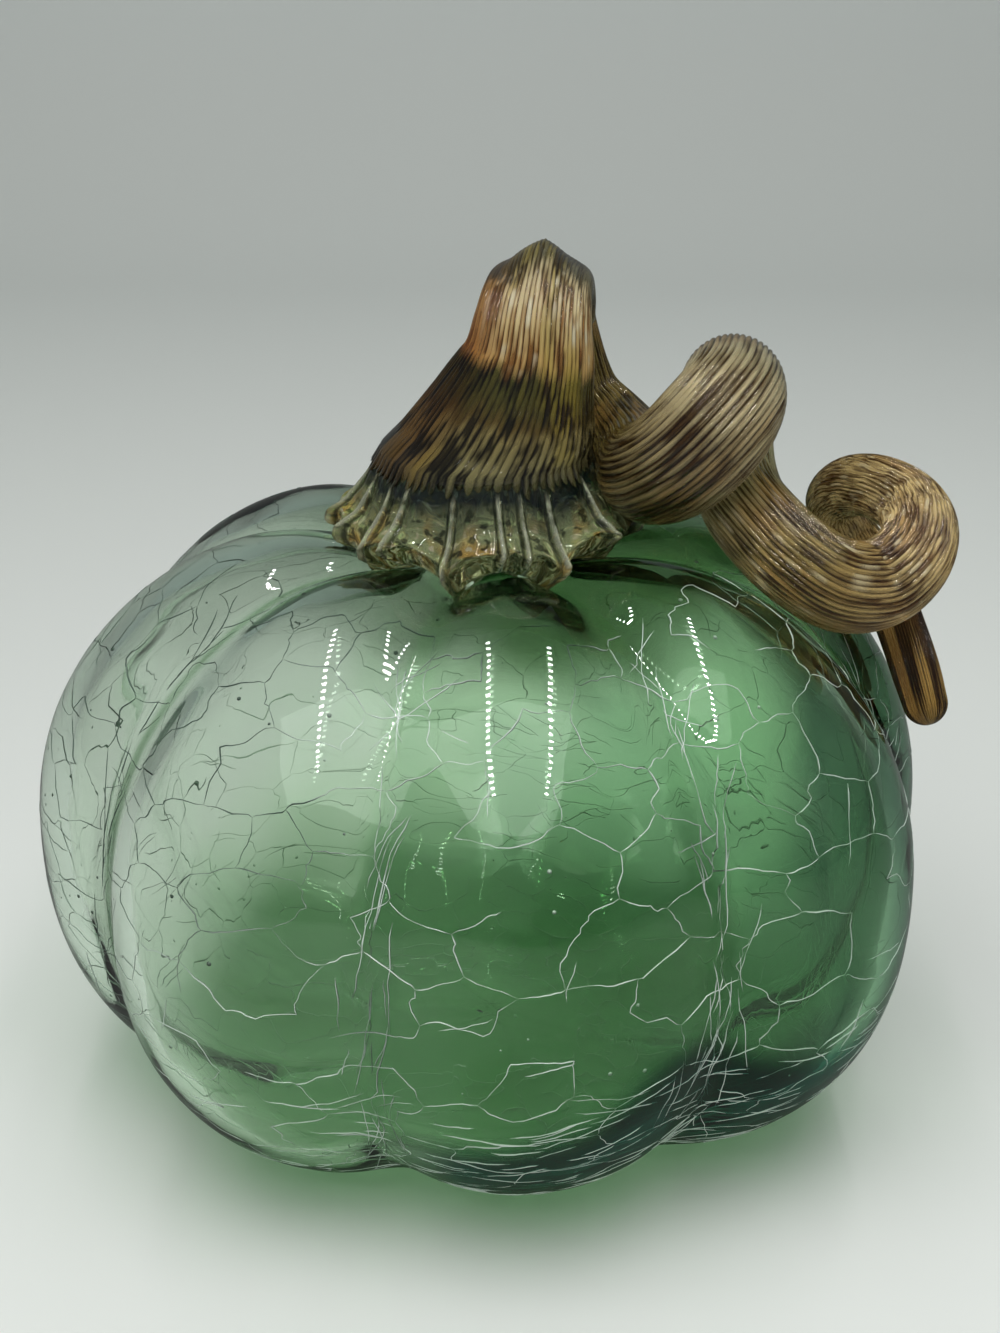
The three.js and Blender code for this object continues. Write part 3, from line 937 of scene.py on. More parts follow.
# How green the glass is: more towards the right and the ground, in soft clouds
def makeGreening():
    tree, (rightward, downward, clouds) = startGroup("greening", greeningLook)
    spot = objectPlace(tree)
    x, y, z = partsOf(tree, spot)
    cloud = noiseAt(tree, spot, greeningPlace["cloudScale"]) - 0.5
    above = z - greeningPlace["height"]
    depth = x * rightward + greeningPlace["middle"] - above * downward + cloud * clouds
    return endGroup(tree, {"Depth": depth, "Cloud": cloud, "X": x, "Y": y, "Z": z})


greening = makeGreening()


# Painted shade: nearly black green under the right-hand lobes, over glass that is thicker there, a darker
# right-hand edge, and dark olive where the foot sits
def makeBodyGlass():
    look, masks = bodyGlassLook, bodyMasks
    material, shader = newGlass("crackled green glass", 0.0, 1.0)
    shader.inputs["Specular IOR Level"].default_value = look["gloss"]
    tree = material.node_tree
    parts = useGroup(material, greening, {})
    x, y, z, cloud = parts["X"], parts["Y"], parts["Z"], parts["Cloud"]
    colour = ramp(tree, parts["Depth"], look["tints"])
    # painted shade along the right-hand edge of the body
    rightRim = smooth(tree, x, *masks["rightRimX"]) * smooth(tree, y, *masks["rightRimY"])
    colour = mixColours(tree, rightRim, colour, look["rightRim"])
    # painted shade under the right-hand lobes, where the floor beneath is shadowed, over glass that is
    # thicker there
    bulge = bell((x - masks["bottomBulgeX"]) / masks["bottomBulge"]) * masks["bottomBulge"]
    above = z - cloud * masks["bottomCloud"] - (bulge + masks["bottomRise"])
    under = smooth(tree, above, *masks["bottomZ"]) * smooth(tree, x, *masks["bottomX"])
    radius = (x * x + y * y) ** 0.5
    under = under * smooth(tree, y, *masks["bottomY"]) * smooth(tree, radius, *masks["bottomRadius"])
    colour = mixColours(tree, under, colour, look["bottom"])
    # painted shade where the foot sits on the shoulder
    reach = radius - larger(x, 0.0) * masks["shoulderReach"] + cloud * masks["shoulderCloud"]
    near = smooth(tree, reach, *masks["shoulderRadius"]) * smooth(tree, z, *masks["shoulderZ"])
    near = near * (smooth(tree, x, *masks["shoulderX"]) * masks["shoulderRight"] + masks["shoulderLeft"])
    colour = mixColours(tree, near, colour, look["shoulder"])
    plug(tree, colour, shader.inputs["Base Color"])
    low = smooth(tree, z, *masks["shadowZ"])
    passShadows(material, shader, mixColours(tree, low, look["shadowTint"], look["lowShadowTint"]))
    bulk = tree.nodes.new("ShaderNodeVolumeAbsorption")
    bulk.inputs["Color"].default_value = look["bulk"]
    bulk.inputs["Density"].default_value = look["bulkDensity"]
    tree.links.new(bulk.outputs[0], tree.nodes["Material Output"].inputs["Volume"])
    return material


crackLook = {
    # the bright colour is a painted glint where crack faces catch the light; the dark one is their painted
    # shade
    "bright": (0.86, 0.97, 0.89, 1),
    "dark": (0.10, 0.15, 0.12, 1),
    "brightFrom": 0.20,
    "brightTo": 0.50,
    "clouds": 1.6,
    "roughness": 0.25,
    "metallic": 0.15,
    "alpha": 0.85,
}


# Crack faces: painted glints on the deep green, mostly painted dark shade on the pale glass
def makeCrackGlass():
    look = crackLook
    material, shader = newGlass("crack faces", look["roughness"], 0.0)
    tree = material.node_tree
    depth = useGroup(material, greening, {"Clouds": look["clouds"]})["Depth"]
    bright = smooth(tree, depth, look["brightFrom"], look["brightTo"])
    plug(tree, mixColours(tree, bright, look["dark"], look["bright"]), shader.inputs["Base Color"])
    shader.inputs["Metallic"].default_value = look["metallic"]
    shader.inputs["Alpha"].default_value = look["alpha"]
    return material


bodyGlass = makeBodyGlass()
crackGlass = makeCrackGlass()


# One object with the lines of several
def joinLines(name, pieces):
    vertices, edges = [], []
    for piece in pieces:
        start = len(vertices)
        vertices += [tuple(v.co) for v in piece.data.vertices]
        edges += [(e.vertices[0] + start, e.vertices[1] + start) for e in piece.data.edges]
        bpy.data.objects.remove(piece)
    mesh = bpy.data.meshes.new(name)
    mesh.from_pydata(vertices, edges, [])
    return newObject(name, mesh)


strays = [strayTree(look).run("stray_" + name) for name, look in strayLook.items()]
print("stray cuts:", [len(piece.data.vertices) for piece in strays])
lines = joinLines("crack_lines", [web] + strays)
body = shellTree(lines, bodyGlass).run("crackled_body")
cracks = ribbonTree(body, crackGlass).run("wall_cracks", lines)
bubbles = seedTree(body, crackGlass).run("seed_bubbles")
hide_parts("glass_body")
for piece in (body, cracks, bubbles):
    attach(piece, "root")
    print(piece.name + ":", triangles(piece), "triangles")


# Cane: one path for the stem and the vine, with the same stations as the frame's own solids

footDrop = 13  # height of the foot in millimetres
footSize = {"radius": 25.8 * mm, "height": footDrop * mm, "gap": 0.3 * mm, "plugDepth": 2 * mm}
seatHeight = float(crownAt(footSize["radius"], bodySize["frontLobe"])) + footSize["height"]
caneSize = {
    "stemRise": 14.7,
    "stemLean": 7.0,
    "foldRadius": 9.8,
    "foldLean": 4.2,
    "upright": 24.0,
    "step": 0.1,
    "bendSteps": 18,
    "endRows": 10,
}
stemFlare = [(0.0, 0, 34), (0.21, 0.29, 31.2), (0.62, 0.71, 25.4)]  # share of rise, of lean, width
foldWidths = [21.2, 18.8, 17.4, 16.8, 16.4, 15.8, 14.8]
foldThins = [0.94, 0.88, 0.82, 0.78, 0.8, 0.87, 0.95]
besideStem = [  # azimuth, past the foot, up, width
    (142, 0, 2.4, 14), (128, 0.6, -1.6, 14), (102, -0.8, -2.6, 14.8),
]
perch = {"polar": math.radians(47), "azimuth": math.radians(75)}
coil = [  # right, back and up from the perch, width
    (-27.4, 7.7, 21.5, 17), (-23.2, 3.4, 25.5, 18.2), (-19, 3.7, 30, 18.4),
    (-16.1, 8.3, 32.4, 17.6), (-14.4, 19, 32.2, 16.2), (-13.8, 25.6, 27, 14.6),
    (-13.8, 24, 19.8, 14.1), (-13, 14.7, 15.2, 14), (-10.7, 6.1, 13.3, 14.2),
    (-5.1, 0.6, 9.2, 14.6), (1.8, -1.6, 5.9, 14.8), (8.1, -0.4, 6, 14.2),
    (12.5, 1.1, 9.2, 13.2), (14.4, 4.4, 12.8, 12.2), (13.2, 9.4, 15.4, 11.3),
    (9.1, 12.8, 17, 10.5), (5.1, 17.5, 15.6, 9.9), (3.4, 21.7, 11.3, 9.4), (6.8, 23.4, 5.2, 9),
    (11, 18.9, 0.2, 8.5), (14.4, 14.6, -7.3, 8.1), (16.7, 9.4, -13.7, 8), (18.6, 5.5, -19.9, 7.2),
]


# Stations in millimetres in the body's own frame: places, widths and thins
def caneStations():
    size = caneSize
    base = (seatHeight + footSize["gap"]) / mm
    rows = []
    for rise, lean, width in stemFlare:
        rows.append((size["stemLean"] * lean, 0, base + size["stemRise"] * rise, width, 1))
    for i, (width, thin) in enumerate(zip(foldWidths, foldThins)):
        share = i / (len(foldWidths) - 1)
        turn = math.pi * (1 - share)
        rows.append((size["stemLean"] + size["foldLean"] * share, size["foldRadius"] * (1 + math.cos(turn)),
                     base + size["stemRise"] + size["foldRadius"] * math.sin(turn), width, thin))
    for azimuth, past, rise, width in besideStem:
        turn, reach = math.radians(azimuth), footSize["radius"] / mm + past
        rows.append((reach * math.sin(turn), -reach * math.cos(turn), seatHeight / mm + rise, width, 1))
    power = 2 / bodySize["crownSquareness"]
    reach = bodySize["radius"] / mm * math.sin(perch["polar"]) ** power
    height = bodySize["crownHeight"] / mm * math.cos(perch["polar"]) ** power
    for right, back, up, width in coil:
        rows.append((reach * math.sin(perch["azimuth"]) + right, -reach * math.cos(perch["azimuth"]) + back,
                     height + up, width, 1))
    rows = np.array(rows, float)
    return rows[:, :3], rows[:, 3], rows[:, 4]


# Centripetal spline through the stations
def throughStations(places, perSpan=60):
    ends = np.vstack([2 * places[0] - places[1], places, 2 * places[-1] - places[-2]])
    points, spans = [], []
    for i in range(len(places) - 1):
        p0, p1, p2, p3 = ends[i:i + 4]
        d0, d1, d2 = (max(np.linalg.norm(b - a) ** 0.5, 1e-4) for a, b in ((p0, p1), (p1, p2), (p2, p3)))
        out = ((p1 - p0) / d0 - (p2 - p0) / (d0 + d1) + (p2 - p1) / d1) * d1
        into = ((p2 - p1) / d1 - (p3 - p1) / (d1 + d2) + (p3 - p2) / d2) * d1
        t = np.linspace(0, 1, perSpan, endpoint=i == len(places) - 2)[:, None]
        square, cube = 3 * p2 - 3 * p1 - 2 * out - into, 2 * p1 - 2 * p2 + out + into
        points.append(p1 + out * t + square * t ** 2 + cube * t ** 3)
        spans.append(i + t[:, 0])
    return np.vstack(points), np.concatenate(spans)


# The even spline through a list of values
def throughValues(values, t):
    i = np.clip(np.floor(t).astype(int), 0, len(values) - 2)
    w = t - i
    p0, p1, p2, p3 = (values[np.clip(i + k, 0, len(values) - 1)] for k in (-1, 0, 1, 2))
    out, into = (p2 - p0) / 2, (p3 - p1) / 2
    cube, square = 2 * p1 - 2 * p2 + out + into, 3 * p2 - 3 * p1 - 2 * out - into
    return cube * w ** 3 + square * w ** 2 + out * w + p1


def unit(vectors):
    return vectors / np.linalg.norm(vectors, axis=-1, keepdims=True)


# Samples along the cane every step, in millimetres: place, side, across, bend, reach and thin
def sampleCane():
    places, widths, thins = caneStations()
    points, spans = throughStations(places)
    along = np.concatenate([[0], np.cumsum(np.linalg.norm(np.diff(points, axis=0), axis=1))])
    even = np.arange(0, along[-1], caneSize["step"])
    place = np.stack([np.interp(even, along, points[:, k]) for k in range(3)], -1)
    span = np.interp(even, along, spans)
    way = unit(np.gradient(place, axis=0))
    steps, last = caneSize["bendSteps"], len(even) - 1
    before, after = (np.clip(np.arange(len(even)) + shift, 0, last) for shift in (-steps, steps))
    bend = (way[after] - way[before]) / (even[after] - even[before])[:, None]
    share = np.clip(even / caneSize["upright"], 0, 1)[:, None]
    share = share * share * (3 - 2 * share)
    facing = unit(way * share + np.array([0, 0, 1.0]) * (1 - share))
    side = np.zeros_like(place)
    turned = np.array([0, -1.0, 0])
    for i, ahead in enumerate(facing):
        turned = unit(turned - ahead * turned.dot(ahead))
        side[i] = turned
    return {"along": even, "place": place, "way": way, "bend": bend, "side": side,
            "across": np.cross(facing, side), "reach": throughValues(widths, span) / 2,
            "thin": throughValues(thins, span)}


cane = sampleCane()
foldStart = (seatHeight + footSize["gap"]) / mm + caneSize["stemRise"]
pastFold = (cane["place"][:, 1] > caneSize["foldRadius"]) & (cane["place"][:, 2] < foldStart)
foldEnd = float(cane["along"][np.argmax(pastFold)])
print("cane length", round(cane["along"][-1], 1), "mm, fold ends at", round(foldEnd, 1))


# Object of joined points in the shared frame, whose points carry numbers and vectors by name
def pathObject(name, points, numbers, vectors):
    mesh = bpy.data.meshes.new(name)
    mesh.from_pydata([tuple(p) for p in points], [(i, i + 1) for i in range(len(points) - 1)], [])
    for key, value in numbers.items():
        mesh.attributes.new(key, "FLOAT", "POINT").data.foreach_set("value", value)
    for key, value in vectors.items():
        mesh.attributes.new(key, "FLOAT_VECTOR", "POINT").data.foreach_set("vector", value.ravel())
    return newObject(name, mesh)


# Path for a stretch of the cane: a round end is drawn in over its last reach, a flat one over no length
def canePath(name, start, end, spacing, roundEnd, drop=0.0):
    along = np.linspace(start, end, int((end - start) / spacing) + 1)
    columns = {key: np.stack([np.interp(along, cane["along"], v) for v in np.atleast_2d(cane[key].T)], -1)
               for key in ("place", "side", "across", "bend", "reach", "thin", "way")}
    columns["place"][0, 2] -= drop
    fill = np.ones(len(along))
    if roundEnd:
        reach, steps = columns["reach"][-1, 0], caneSize["endRows"]
        turn = np.linspace(0, math.pi / 2, steps + 1)[1:]
        for key, value in columns.items():
            columns[key] = np.vstack([value, np.repeat(value[-1:], steps, 0)])
        columns["place"][-steps:] += columns["way"][-1] * (reach * np.sin(turn))[:, None]
        along = np.concatenate([along, along[-1] + reach * np.sin(turn)])
        fill = np.concatenate([fill, np.cos(turn)])
    for at in (0,) if roundEnd else (0, -1):
        row = 0 if at == 0 else len(along)
        for key, value in columns.items():
            columns[key] = np.insert(value, row, value[at], axis=0)
        along = np.insert(along, row, along[at])
        fill = np.insert(fill, row, 0.0)
    flat = np.zeros(len(along))
    flat[0] = 1
    flat[-1] = 0 if roundEnd else 1
    numbers = {"reach": columns["reach"][:, 0] * mm, "thin": columns["thin"][:, 0], "along": along * mm,
               "fill": fill, "flat": flat}
    vectors = {"side": columns["side"], "across": columns["across"], "bend": columns["bend"] / mm}
    return pathObject(name, columns["place"] * mm + bodyCentre, numbers, vectors)


# Grid with a row for each point of the path; also gives the share round the path, and the values
# that its points carry
def rowsOverPath(maker, columns, numbers, vectors):
    path = maker["Geometry"]
    rows = maker.add("GeometryNodeAttributeDomainSize", {"Geometry": path}, component="MESH")
    grid = maker.add("GeometryNodeMeshGrid", {"Vertices X": rows, "Vertices Y": columns})
    x, y, _ = maker.split(maker.here())
    row = nearestWhole((x + 0.5) * (rows - 1.0))
    values = {}
    for keys, kind in ((numbers, "FLOAT"), (vectors, "FLOAT_VECTOR")):
        for key in keys:
            if key == "place":
                value = maker.here()
            else:
                value = maker.add("GeometryNodeInputNamedAttribute", {"Name": key}, data_type=kind)
            sample = {"Geometry": path, "Value": value, "Index": row}
            values[key] = maker.add("GeometryNodeSampleIndex", sample, data_type=kind)
    return grid, y + 0.5, values


# Stores the map, smooths all but the flat ends, moves the grid's points and closes it
def closeOver(maker, grid, row, glassPlace, place):
    values = {"Geometry": grid, "Name": "glassMap", "Value": glassPlace}
    grid = maker.add("GeometryNodeStoreNamedAttribute", values, data_type="FLOAT2", domain="CORNER")
    values = {"Geometry": grid, "Shade Smooth": isLess(row["flat"], 0.25)}
    grid = maker.add("GeometryNodeSetShadeSmooth", values)
    return maker.merge(maker.move(grid, place))


ribShared = {  # what the ribs on the cane and their ends on the foot have in common
    "depth": 0.36 * mm,
    "sharpness": 0.7,
    "fadeFrom": 1.6 * mm,
    "fadeLean": 1.8 * mm,
    "fadeOver": 0.9 * mm,
    "fadeRagged": 1.1 * mm,
    "fadeRound": 60 * mm,
}
fadeGrain = 9 * mm  # size of the steps in that ragged edge
ribLook = {
    "twist": 9.0,
    "ragged": 0.75,
    "raggedSize": 1.6 * mm,
    "raggedRound": 8 * mm,
    "raggedAlong": 0.4,
    "wobble": 0.007,
    "wobbleSize": 4 * mm,
    "jointFade": 3.0 * mm,
    "tongue": 1.5 * mm,
    "tongueLeast": 0.4,
    "tongueOut": 0.8,
    "tightest": 0.88,
    "tipX": 8.9 * mm,
    "tipFrom": 136 * mm,
    "tipOver": 6 * mm,
    "tipRoof": 0.42,
    "tipWidth": 6 * mm,
    "tipPinch": 0.7 * mm,
    "pinchWidth": 0.5 * mm,
    "pinchBack": 9 * mm,
}
stemRibs = {"ribs": 74, "stepsPerRib": 6, "spacing": 0.5, "sink": 0.7}
vineRibs = {"ribs": 50, "stepsPerRib": 6, "spacing": 1.0, "short": 2.2}


def ridgeOf(maker, around):
    return absolute(sine(around * (maker["ribs"] * math.pi))) ** maker["sharpness"]


# Height above the seat at which the ribs end, at a share round the cane: higher on the left, and
# uneven, so that the ends make a scalloped edge
def ribStop(maker, around):
    turn = around * fullTurn
    loop = maker.vector(sine(turn) * maker["fadeRound"], cosine(turn) * maker["fadeRound"], 0.0)
    uneven = maker.noise(loop, fadeGrain) * maker["fadeRagged"]
    return maker["fadeFrom"] - sine(turn) * maker["fadeLean"] + uneven


def caneTree(material, count):
    inputs = {**ribShared, **ribLook, "ribs": float(count["ribs"]), "joint": foldEnd * mm,
              "columns": count["ribs"] * count["stepsPerRib"] + 1, "material": material}
    maker = Maker("ribbed cane", inputs)
    grid, around, row = rowsOverPath(maker, maker["columns"], ("reach", "thin", "along", "fill", "flat"),
                                     ("place", "side", "across", "bend"))
    along, joint = row["along"], maker["joint"]

    # ribs: round ridges with narrow grooves, ragged along their length
    turn = around * fullTurn
    ridge = ridgeOf(maker, around)
    loop = maker.vector(sine(turn) * maker["raggedRound"], cosine(turn) * maker["raggedRound"],
                        along * maker["raggedAlong"])
    ragged = maker.noise(loop, maker["raggedSize"], 2.0) * maker["ragged"] + 1.0
    fade = between((along - ribStop(maker, around)) / maker["fadeOver"], 0.0, 1.0)
    fade = fade * between(absolute(along - joint) / maker["jointFade"], 0.0, 1.0)
    turn = turn + maker.noise(maker.scale(loop, 0.5), maker["wobbleSize"]) * (maker["wobble"] * 2 * math.pi)

    # at the seat each rib ends in a tongue of its own length that hangs over the foot
    rib = nearestWhole(around * maker["ribs"] - 0.5)
    chance = wrapped(sine(rib * 78.233) * 437.58, 1.0)  # differs from rib to rib
    hang = ridge * (maker["tongueLeast"] + chance) * maker["tongue"] * isLess(along, 1e-5) * row["fill"]
    radius = (row["reach"] - (1.0 - ridge) * maker["depth"] * ragged * fade) * row["fill"]
    radius = radius + hang * maker["tongueOut"]
    angle = turn + larger(along - joint, 0.0) * maker["twist"]
    offset = maker.blend("ADD", maker.scale(row["side"], radius * row["thin"] * cosine(angle)),
                         maker.scale(row["across"], radius * sine(angle)))

    # a bend's inner side is flattened before it folds
    bend = row["bend"]
    crowding = maker.add("ShaderNodeVectorMath", {0: offset, 1: bend}, "Value", operation="DOT_PRODUCT")
    tight = maker.add("ShaderNodeVectorMath", {0: bend, 1: bend}, "Value", operation="DOT_PRODUCT")
    excess = larger(crowding - maker["tightest"], 0.0) / larger(tight, 1e-6)
    offset = maker.blend("SUBTRACT", offset, maker.scale(bend, excess))
    x, y, z = maker.split(maker.blend("ADD", row["place"], offset))
    z = z - hang

    # the fold's top is a roof that falls to both sides of a pinched line
    away = absolute(x - maker["tipX"])
    top = between((z - maker["tipFrom"]) / maker["tipOver"], 0.0, 1.0)
    top = top * top * isLess(along, joint)
    pinch = bell(away / maker["pinchWidth"]) * maker["tipPinch"] * isLess(y, maker["pinchBack"])
    z = z - top * (smaller(away, maker["tipWidth"]) * maker["tipRoof"] + pinch)
    piece = closeOver(maker, grid, row, maker.vector(around, along, 0.0), maker.vector(x, y, z))
    maker.finish(maker.add("GeometryNodeFlipFaces", {"Mesh": piece}), maker["material"])
    return maker


# Foot: a skirt with sharp fins that end in teeth, and pillows between them

footProfile = [  # radius, share of the drop, how much the fins act, how much the hem does
    (0, 0, 0, 0), (9, 0, 0, 0), (15.9, 0, 0, 0), (16.7, 0.008, 0, 0), (17.05, 0.031, 0, 0),
    (17.35, 0.06, 0.03, 0), (18.25, 0.16, 0.25, 0), (20.0, 0.36, 0.65, 0), (21.8, 0.53, 0.9, 0),
    (23.8, 0.66, 1, 0.1), (25.3, 0.78, 1.1, 0.5), (25.8, 0.9, 1.1, 0.9), (25.6, 0.97, 1.1, 1),
    (25.0, 1, 1, 1), (23, 1, 0.8, 0.6), (19, 1, 0.3, 0.1), (12.1, 1, 0, 0),
]
footGrid = {
    "fins": [-90, -70, -53, -41, -15, 7, 18, 33, 60, 84, 108, 132, 155, 180, -156, -134, -112],  # azimuths
    "rows": 84,
    "columns": 721,
    "crowding": 0.8,
    "ownRows": slice(2, 7),  # the profile's points that get a row of their own
}
finLook = {
    "finWidth": math.radians(1.6),
    "groove": 2.0 * mm,
    "pillow": 1.3 * mm,
    "pillowWidth": math.radians(5.2),
    "tooth": 0.1 * mm,
    "lift": 0.9 * mm,
    "rightLift": 0.9 * mm,
    "rightSpread": 1.4,
    "rightFrom": 0.1,
    "frontLift": 1.5 * mm,
    "frontTuck": 1.3 * mm,
    "tuck": 2.2 * mm,
    "arch": 1.7 * mm,
    "sway": 0.05,
    "swayRound": 20 * mm,
    "swayDown": 6 * mm,
    "lumps": 0.75 * mm,
    "lumpSize": 3.8 * mm,
    "neckClear": 13.2 * mm,
}
swayGrain = 5 * mm


def makeFootPath():
    profile = np.array(footProfile, float)
    steps = np.hypot(np.diff(profile[:, 0]), np.diff(profile[:, 1]) * footDrop) ** footGrid["crowding"]
    along = np.concatenate([[0], np.cumsum(steps)])
    even = np.linspace(0, along[-1], footGrid["rows"])
    at = np.sort(np.concatenate([even, along[footGrid["ownRows"]]]))
    span = np.interp(at, along, np.arange(len(profile)))
    radius, drop = (throughValues(column, span) for column in profile.T[:2])
    fins, hem = (np.interp(span, np.arange(len(profile)), column) for column in profile.T[2:])

    # the last two rows are the plug's edge and its middle
    radius = np.append(np.clip(radius, 0, None), (profile[-1, 0], 0))
    drop = np.append(np.clip(drop, 0, 1), (1, 1))
    fins, hem, plug = np.append(fins, (0, 0)), np.append(hem, (0, 0)), np.append(0 * span, (1, 1))
    radius[0] = 0
    places = np.stack([radius * mm, 0 * radius, drop * mm], -1)
    numbers = {"flat": (drop < 0.001) * 1.0, "radius": radius * mm, "drop": drop, "fins": fins, "hem": hem,
               "plug": plug}
    return pathObject("foot_path", places, numbers, {})


# One point for each fin, on a circle a metre out
def makeFinMarks():
    turn = np.radians(footGrid["fins"])
    points = np.stack([np.sin(turn), -np.cos(turn), 0 * turn], -1)
    return pathObject("fin_marks", points, {}, {})


def footTree(marks, material):
    neckHeight = float(crownAt(bodyPlan["neckRadius"], bodySize["frontLobe"])) + bodyCentre[2]
    inputs = {**ribShared, **finLook, "top": float(seatHeight + bodyCentre[2]),
              "plugFloor": float(neckHeight - footSize["plugDepth"]), "gap": footSize["gap"] / 3,
              "columns": footGrid["columns"], "ribs": float(stemRibs["ribs"]), "skin": skin, "marks": marks,
              "material": material}
    maker = Maker("fluted foot", inputs)
    numbers = ("radius", "drop", "fins", "hem", "plug", "flat")
    grid, share, row = rowsOverPath(maker, maker["columns"], numbers, ())
    around, drop = share - 0.5, row["drop"]
    turn = around * fullTurn
    right, front = sine(turn), cosine(turn)
    loop = maker.vector(right * maker["swayRound"], front * maker["swayRound"], drop * maker["swayDown"])
    swayed = turn + maker.noise(loop, swayGrain) * (maker["sway"] * row["fins"])
    outward = maker.vector(sine(swayed), cosine(swayed) * -1.0, 0.0)
    away = maker.add("GeometryNodeProximity", {0: maker.shape("marks"), "Sample Position": outward}, 1,
                     target_element="POINTS")
    fin = bell(away / maker["finWidth"])
    pillow = 1.0 - bell(away / maker["pillowWidth"])
    even = maker.vector(right * row["radius"], front * row["radius"], drop * footSize["height"])
    lumps = maker.noise(even, maker["lumpSize"]) * maker["lumps"] * row["fins"]
    out = (fin - 1.0) * maker["groove"] + pillow * maker["pillow"]
    hem = fin * maker["tooth"] - pillow * maker["tuck"]

    # the stem's ribs run on a little below the seat on the right
    ribs = between((drop * -footDrop * mm - ribStop(maker, around)) / maker["fadeOver"], 0.0, 1.0)
    cut = (1.0 - ridgeOf(maker, around)) * maker["depth"] * ribs * (1.0 - isLess(drop, 0.01))
    radius = row["radius"] + out * row["fins"] + hem * row["hem"] + lumps - cut
    forward = larger(front, 0.0) * row["hem"]
    radius = larger(radius - forward * maker["frontTuck"], 0.0) * (1.0 - isLess(row["radius"], 1e-5))
    x, y = right * radius, front * radius * -1.0

    # down to the skin, wherever that lies below this point
    reached = larger(radius, maker["neckClear"])
    above = maker.vector(right * reached + bodyCentre[0], front * reached * -1.0 + bodyCentre[1], 0.2)
    values = {"Target Geometry": maker.shape("skin"), "Source Position": above,
              "Ray Direction": (0.0, 0.0, -1.0), "Ray Length": 0.3}
    ground = maker.split(maker.add("GeometryNodeRaycast", values, "Hit Position"))[2]
    rightward = between(right * maker["rightSpread"] - maker["rightFrom"], 0.0, 1.0) * maker["rightLift"]
    ground = ground + maker["gap"] + row["hem"] * (maker["lift"] + rightward + pillow * maker["arch"])
    ground = ground + forward * maker["frontLift"]
    z = maker["top"] * (1.0 - drop) + ground * drop
    z = z * (1.0 - row["plug"]) + maker["plugFloor"] * row["plug"]
    place = maker.vector(x + bodyCentre[0], y + bodyCentre[1], z)
    grid = maker.add("GeometryNodeStoreNamedAttribute", {"Geometry": grid, "Name": "finShare", "Value": fin})
    piece = closeOver(maker, grid, row, maker.vector(share, drop, 0.0), place)
    maker.finish(piece, maker["material"])
    return maker


stripeLook = {  # lengths along the cane in metres; a grain is how often round, how often along, and a seed
    "waveStart": (0.002, 0.012),
    "waveEnd": (0.222, 0.23),
    "waveGrain": (15.0, 330.0, 91.0),
    "bendGrain": (12.0, 0.6, 41.0),
    "fineGrain": (2.2, 1.3, 23.0),
    "wideGrain": (7.0, 0.35, 17.0),
    "edgeGrain": (0.5, 40.0, 31.0),
    "glintGrain": (5.3, 1.4, 57.0),
    "patchGrain": (0.13, 45.0, 71.0),
    "tailFrom": 0.232,
    "tailStretch": 0.75,
    "tailContrast": 60.0,
    "tailDarker": 9.0,
    "merged": 4.0,
    "mergeAt": (0.228, 0.236),
    "bend": 0.05,
    "own": 0.60,
    "fine": 0.26,
    "wide": 0.14,
    "grooves": 0.7,
    "middle": 0.45,
    "glintAt": (0.58, 0.70),
    "patchAt": (0.50, 0.66),
    "leftAt": (-0.35, -0.9),
}


# Stripes along the ribs: streaks of light and dark glass that follow the ribs, or wave across them
# from a place on, and that run together on the tail, lighter on the crests and darker in the grooves
# as painted light and shade; the grooves, short painted glints, patches, and how far to the left a place
# lies
def makeStripes():
    look = stripeLook
    tree, (ribs, streak, far, farFrom, contrast, wave) = startGroup("rib stripes", {
        "Ribs": 60.0, "Streak": 100.0, "Far Streak": 100.0, "Far From": 1.0, "Contrast": 8.5, "Wave": 0.03})
    around, along = glassMap(tree)
    tail = larger(along - look["tailFrom"], 0.0)
    waves = smooth(tree, along, *(farFrom + at for at in look["waveStart"]))
    waves = waves * (1.0 - smooth(tree, along, *look["waveEnd"]))
    around = around + (grainNoise(tree, around, along, look["waveGrain"], 1.0) - 0.5) * wave * waves
    past = larger(along - farFrom, 0.0) - tail
    length = along * streak + past * far - tail * streak * look["tailStretch"]
    bent = around + (grainNoise(tree, around, length, look["bendGrain"], 1.0) - 0.5) * look["bend"]
    rib = wholeBelow(around * ribs)
    merged = wholeBelow(rib / look["merged"]) * look["merged"]
    rib = rib + (merged - rib) * smooth(tree, along, *look["mergeAt"])
    own = flatNoise(tree, rib * 3.7, length, 3.0)
    fine = grainNoise(tree, bent * ribs, length, look["fineGrain"])
    wide = grainNoise(tree, bent, length, look["wideGrain"])
    groove = absolute(sine(around * (ribs * math.pi)))
    stripe = (own * look["own"] + fine * look["fine"] + wide * look["wide"] - 0.5) * contrast
    # lighter on the rib crests and darker in the grooves: painted light and shade
    stripe = stripe * (tail * look["tailContrast"] + 1.0) + (groove - 0.5) * look["grooves"]
    stripe = stripe + look["middle"] - tail * look["tailDarker"]
    edge = grainNoise(tree, around * ribs, along, look["edgeGrain"], 3.0)
    glint = smooth(tree, grainNoise(tree, rib, length, look["glintGrain"], 1.0), *look["glintAt"])
    patch = smooth(tree, grainNoise(tree, rib, along, look["patchGrain"]), *look["patchAt"])
    left = smooth(tree, sine(around * fullTurn), *look["leftAt"])
    return endGroup(tree, {"Stripe": stripe, "Groove": groove, "Along": along, "Edge": edge, "Glint": glint,
                           "Patch": patch, "Left": left})


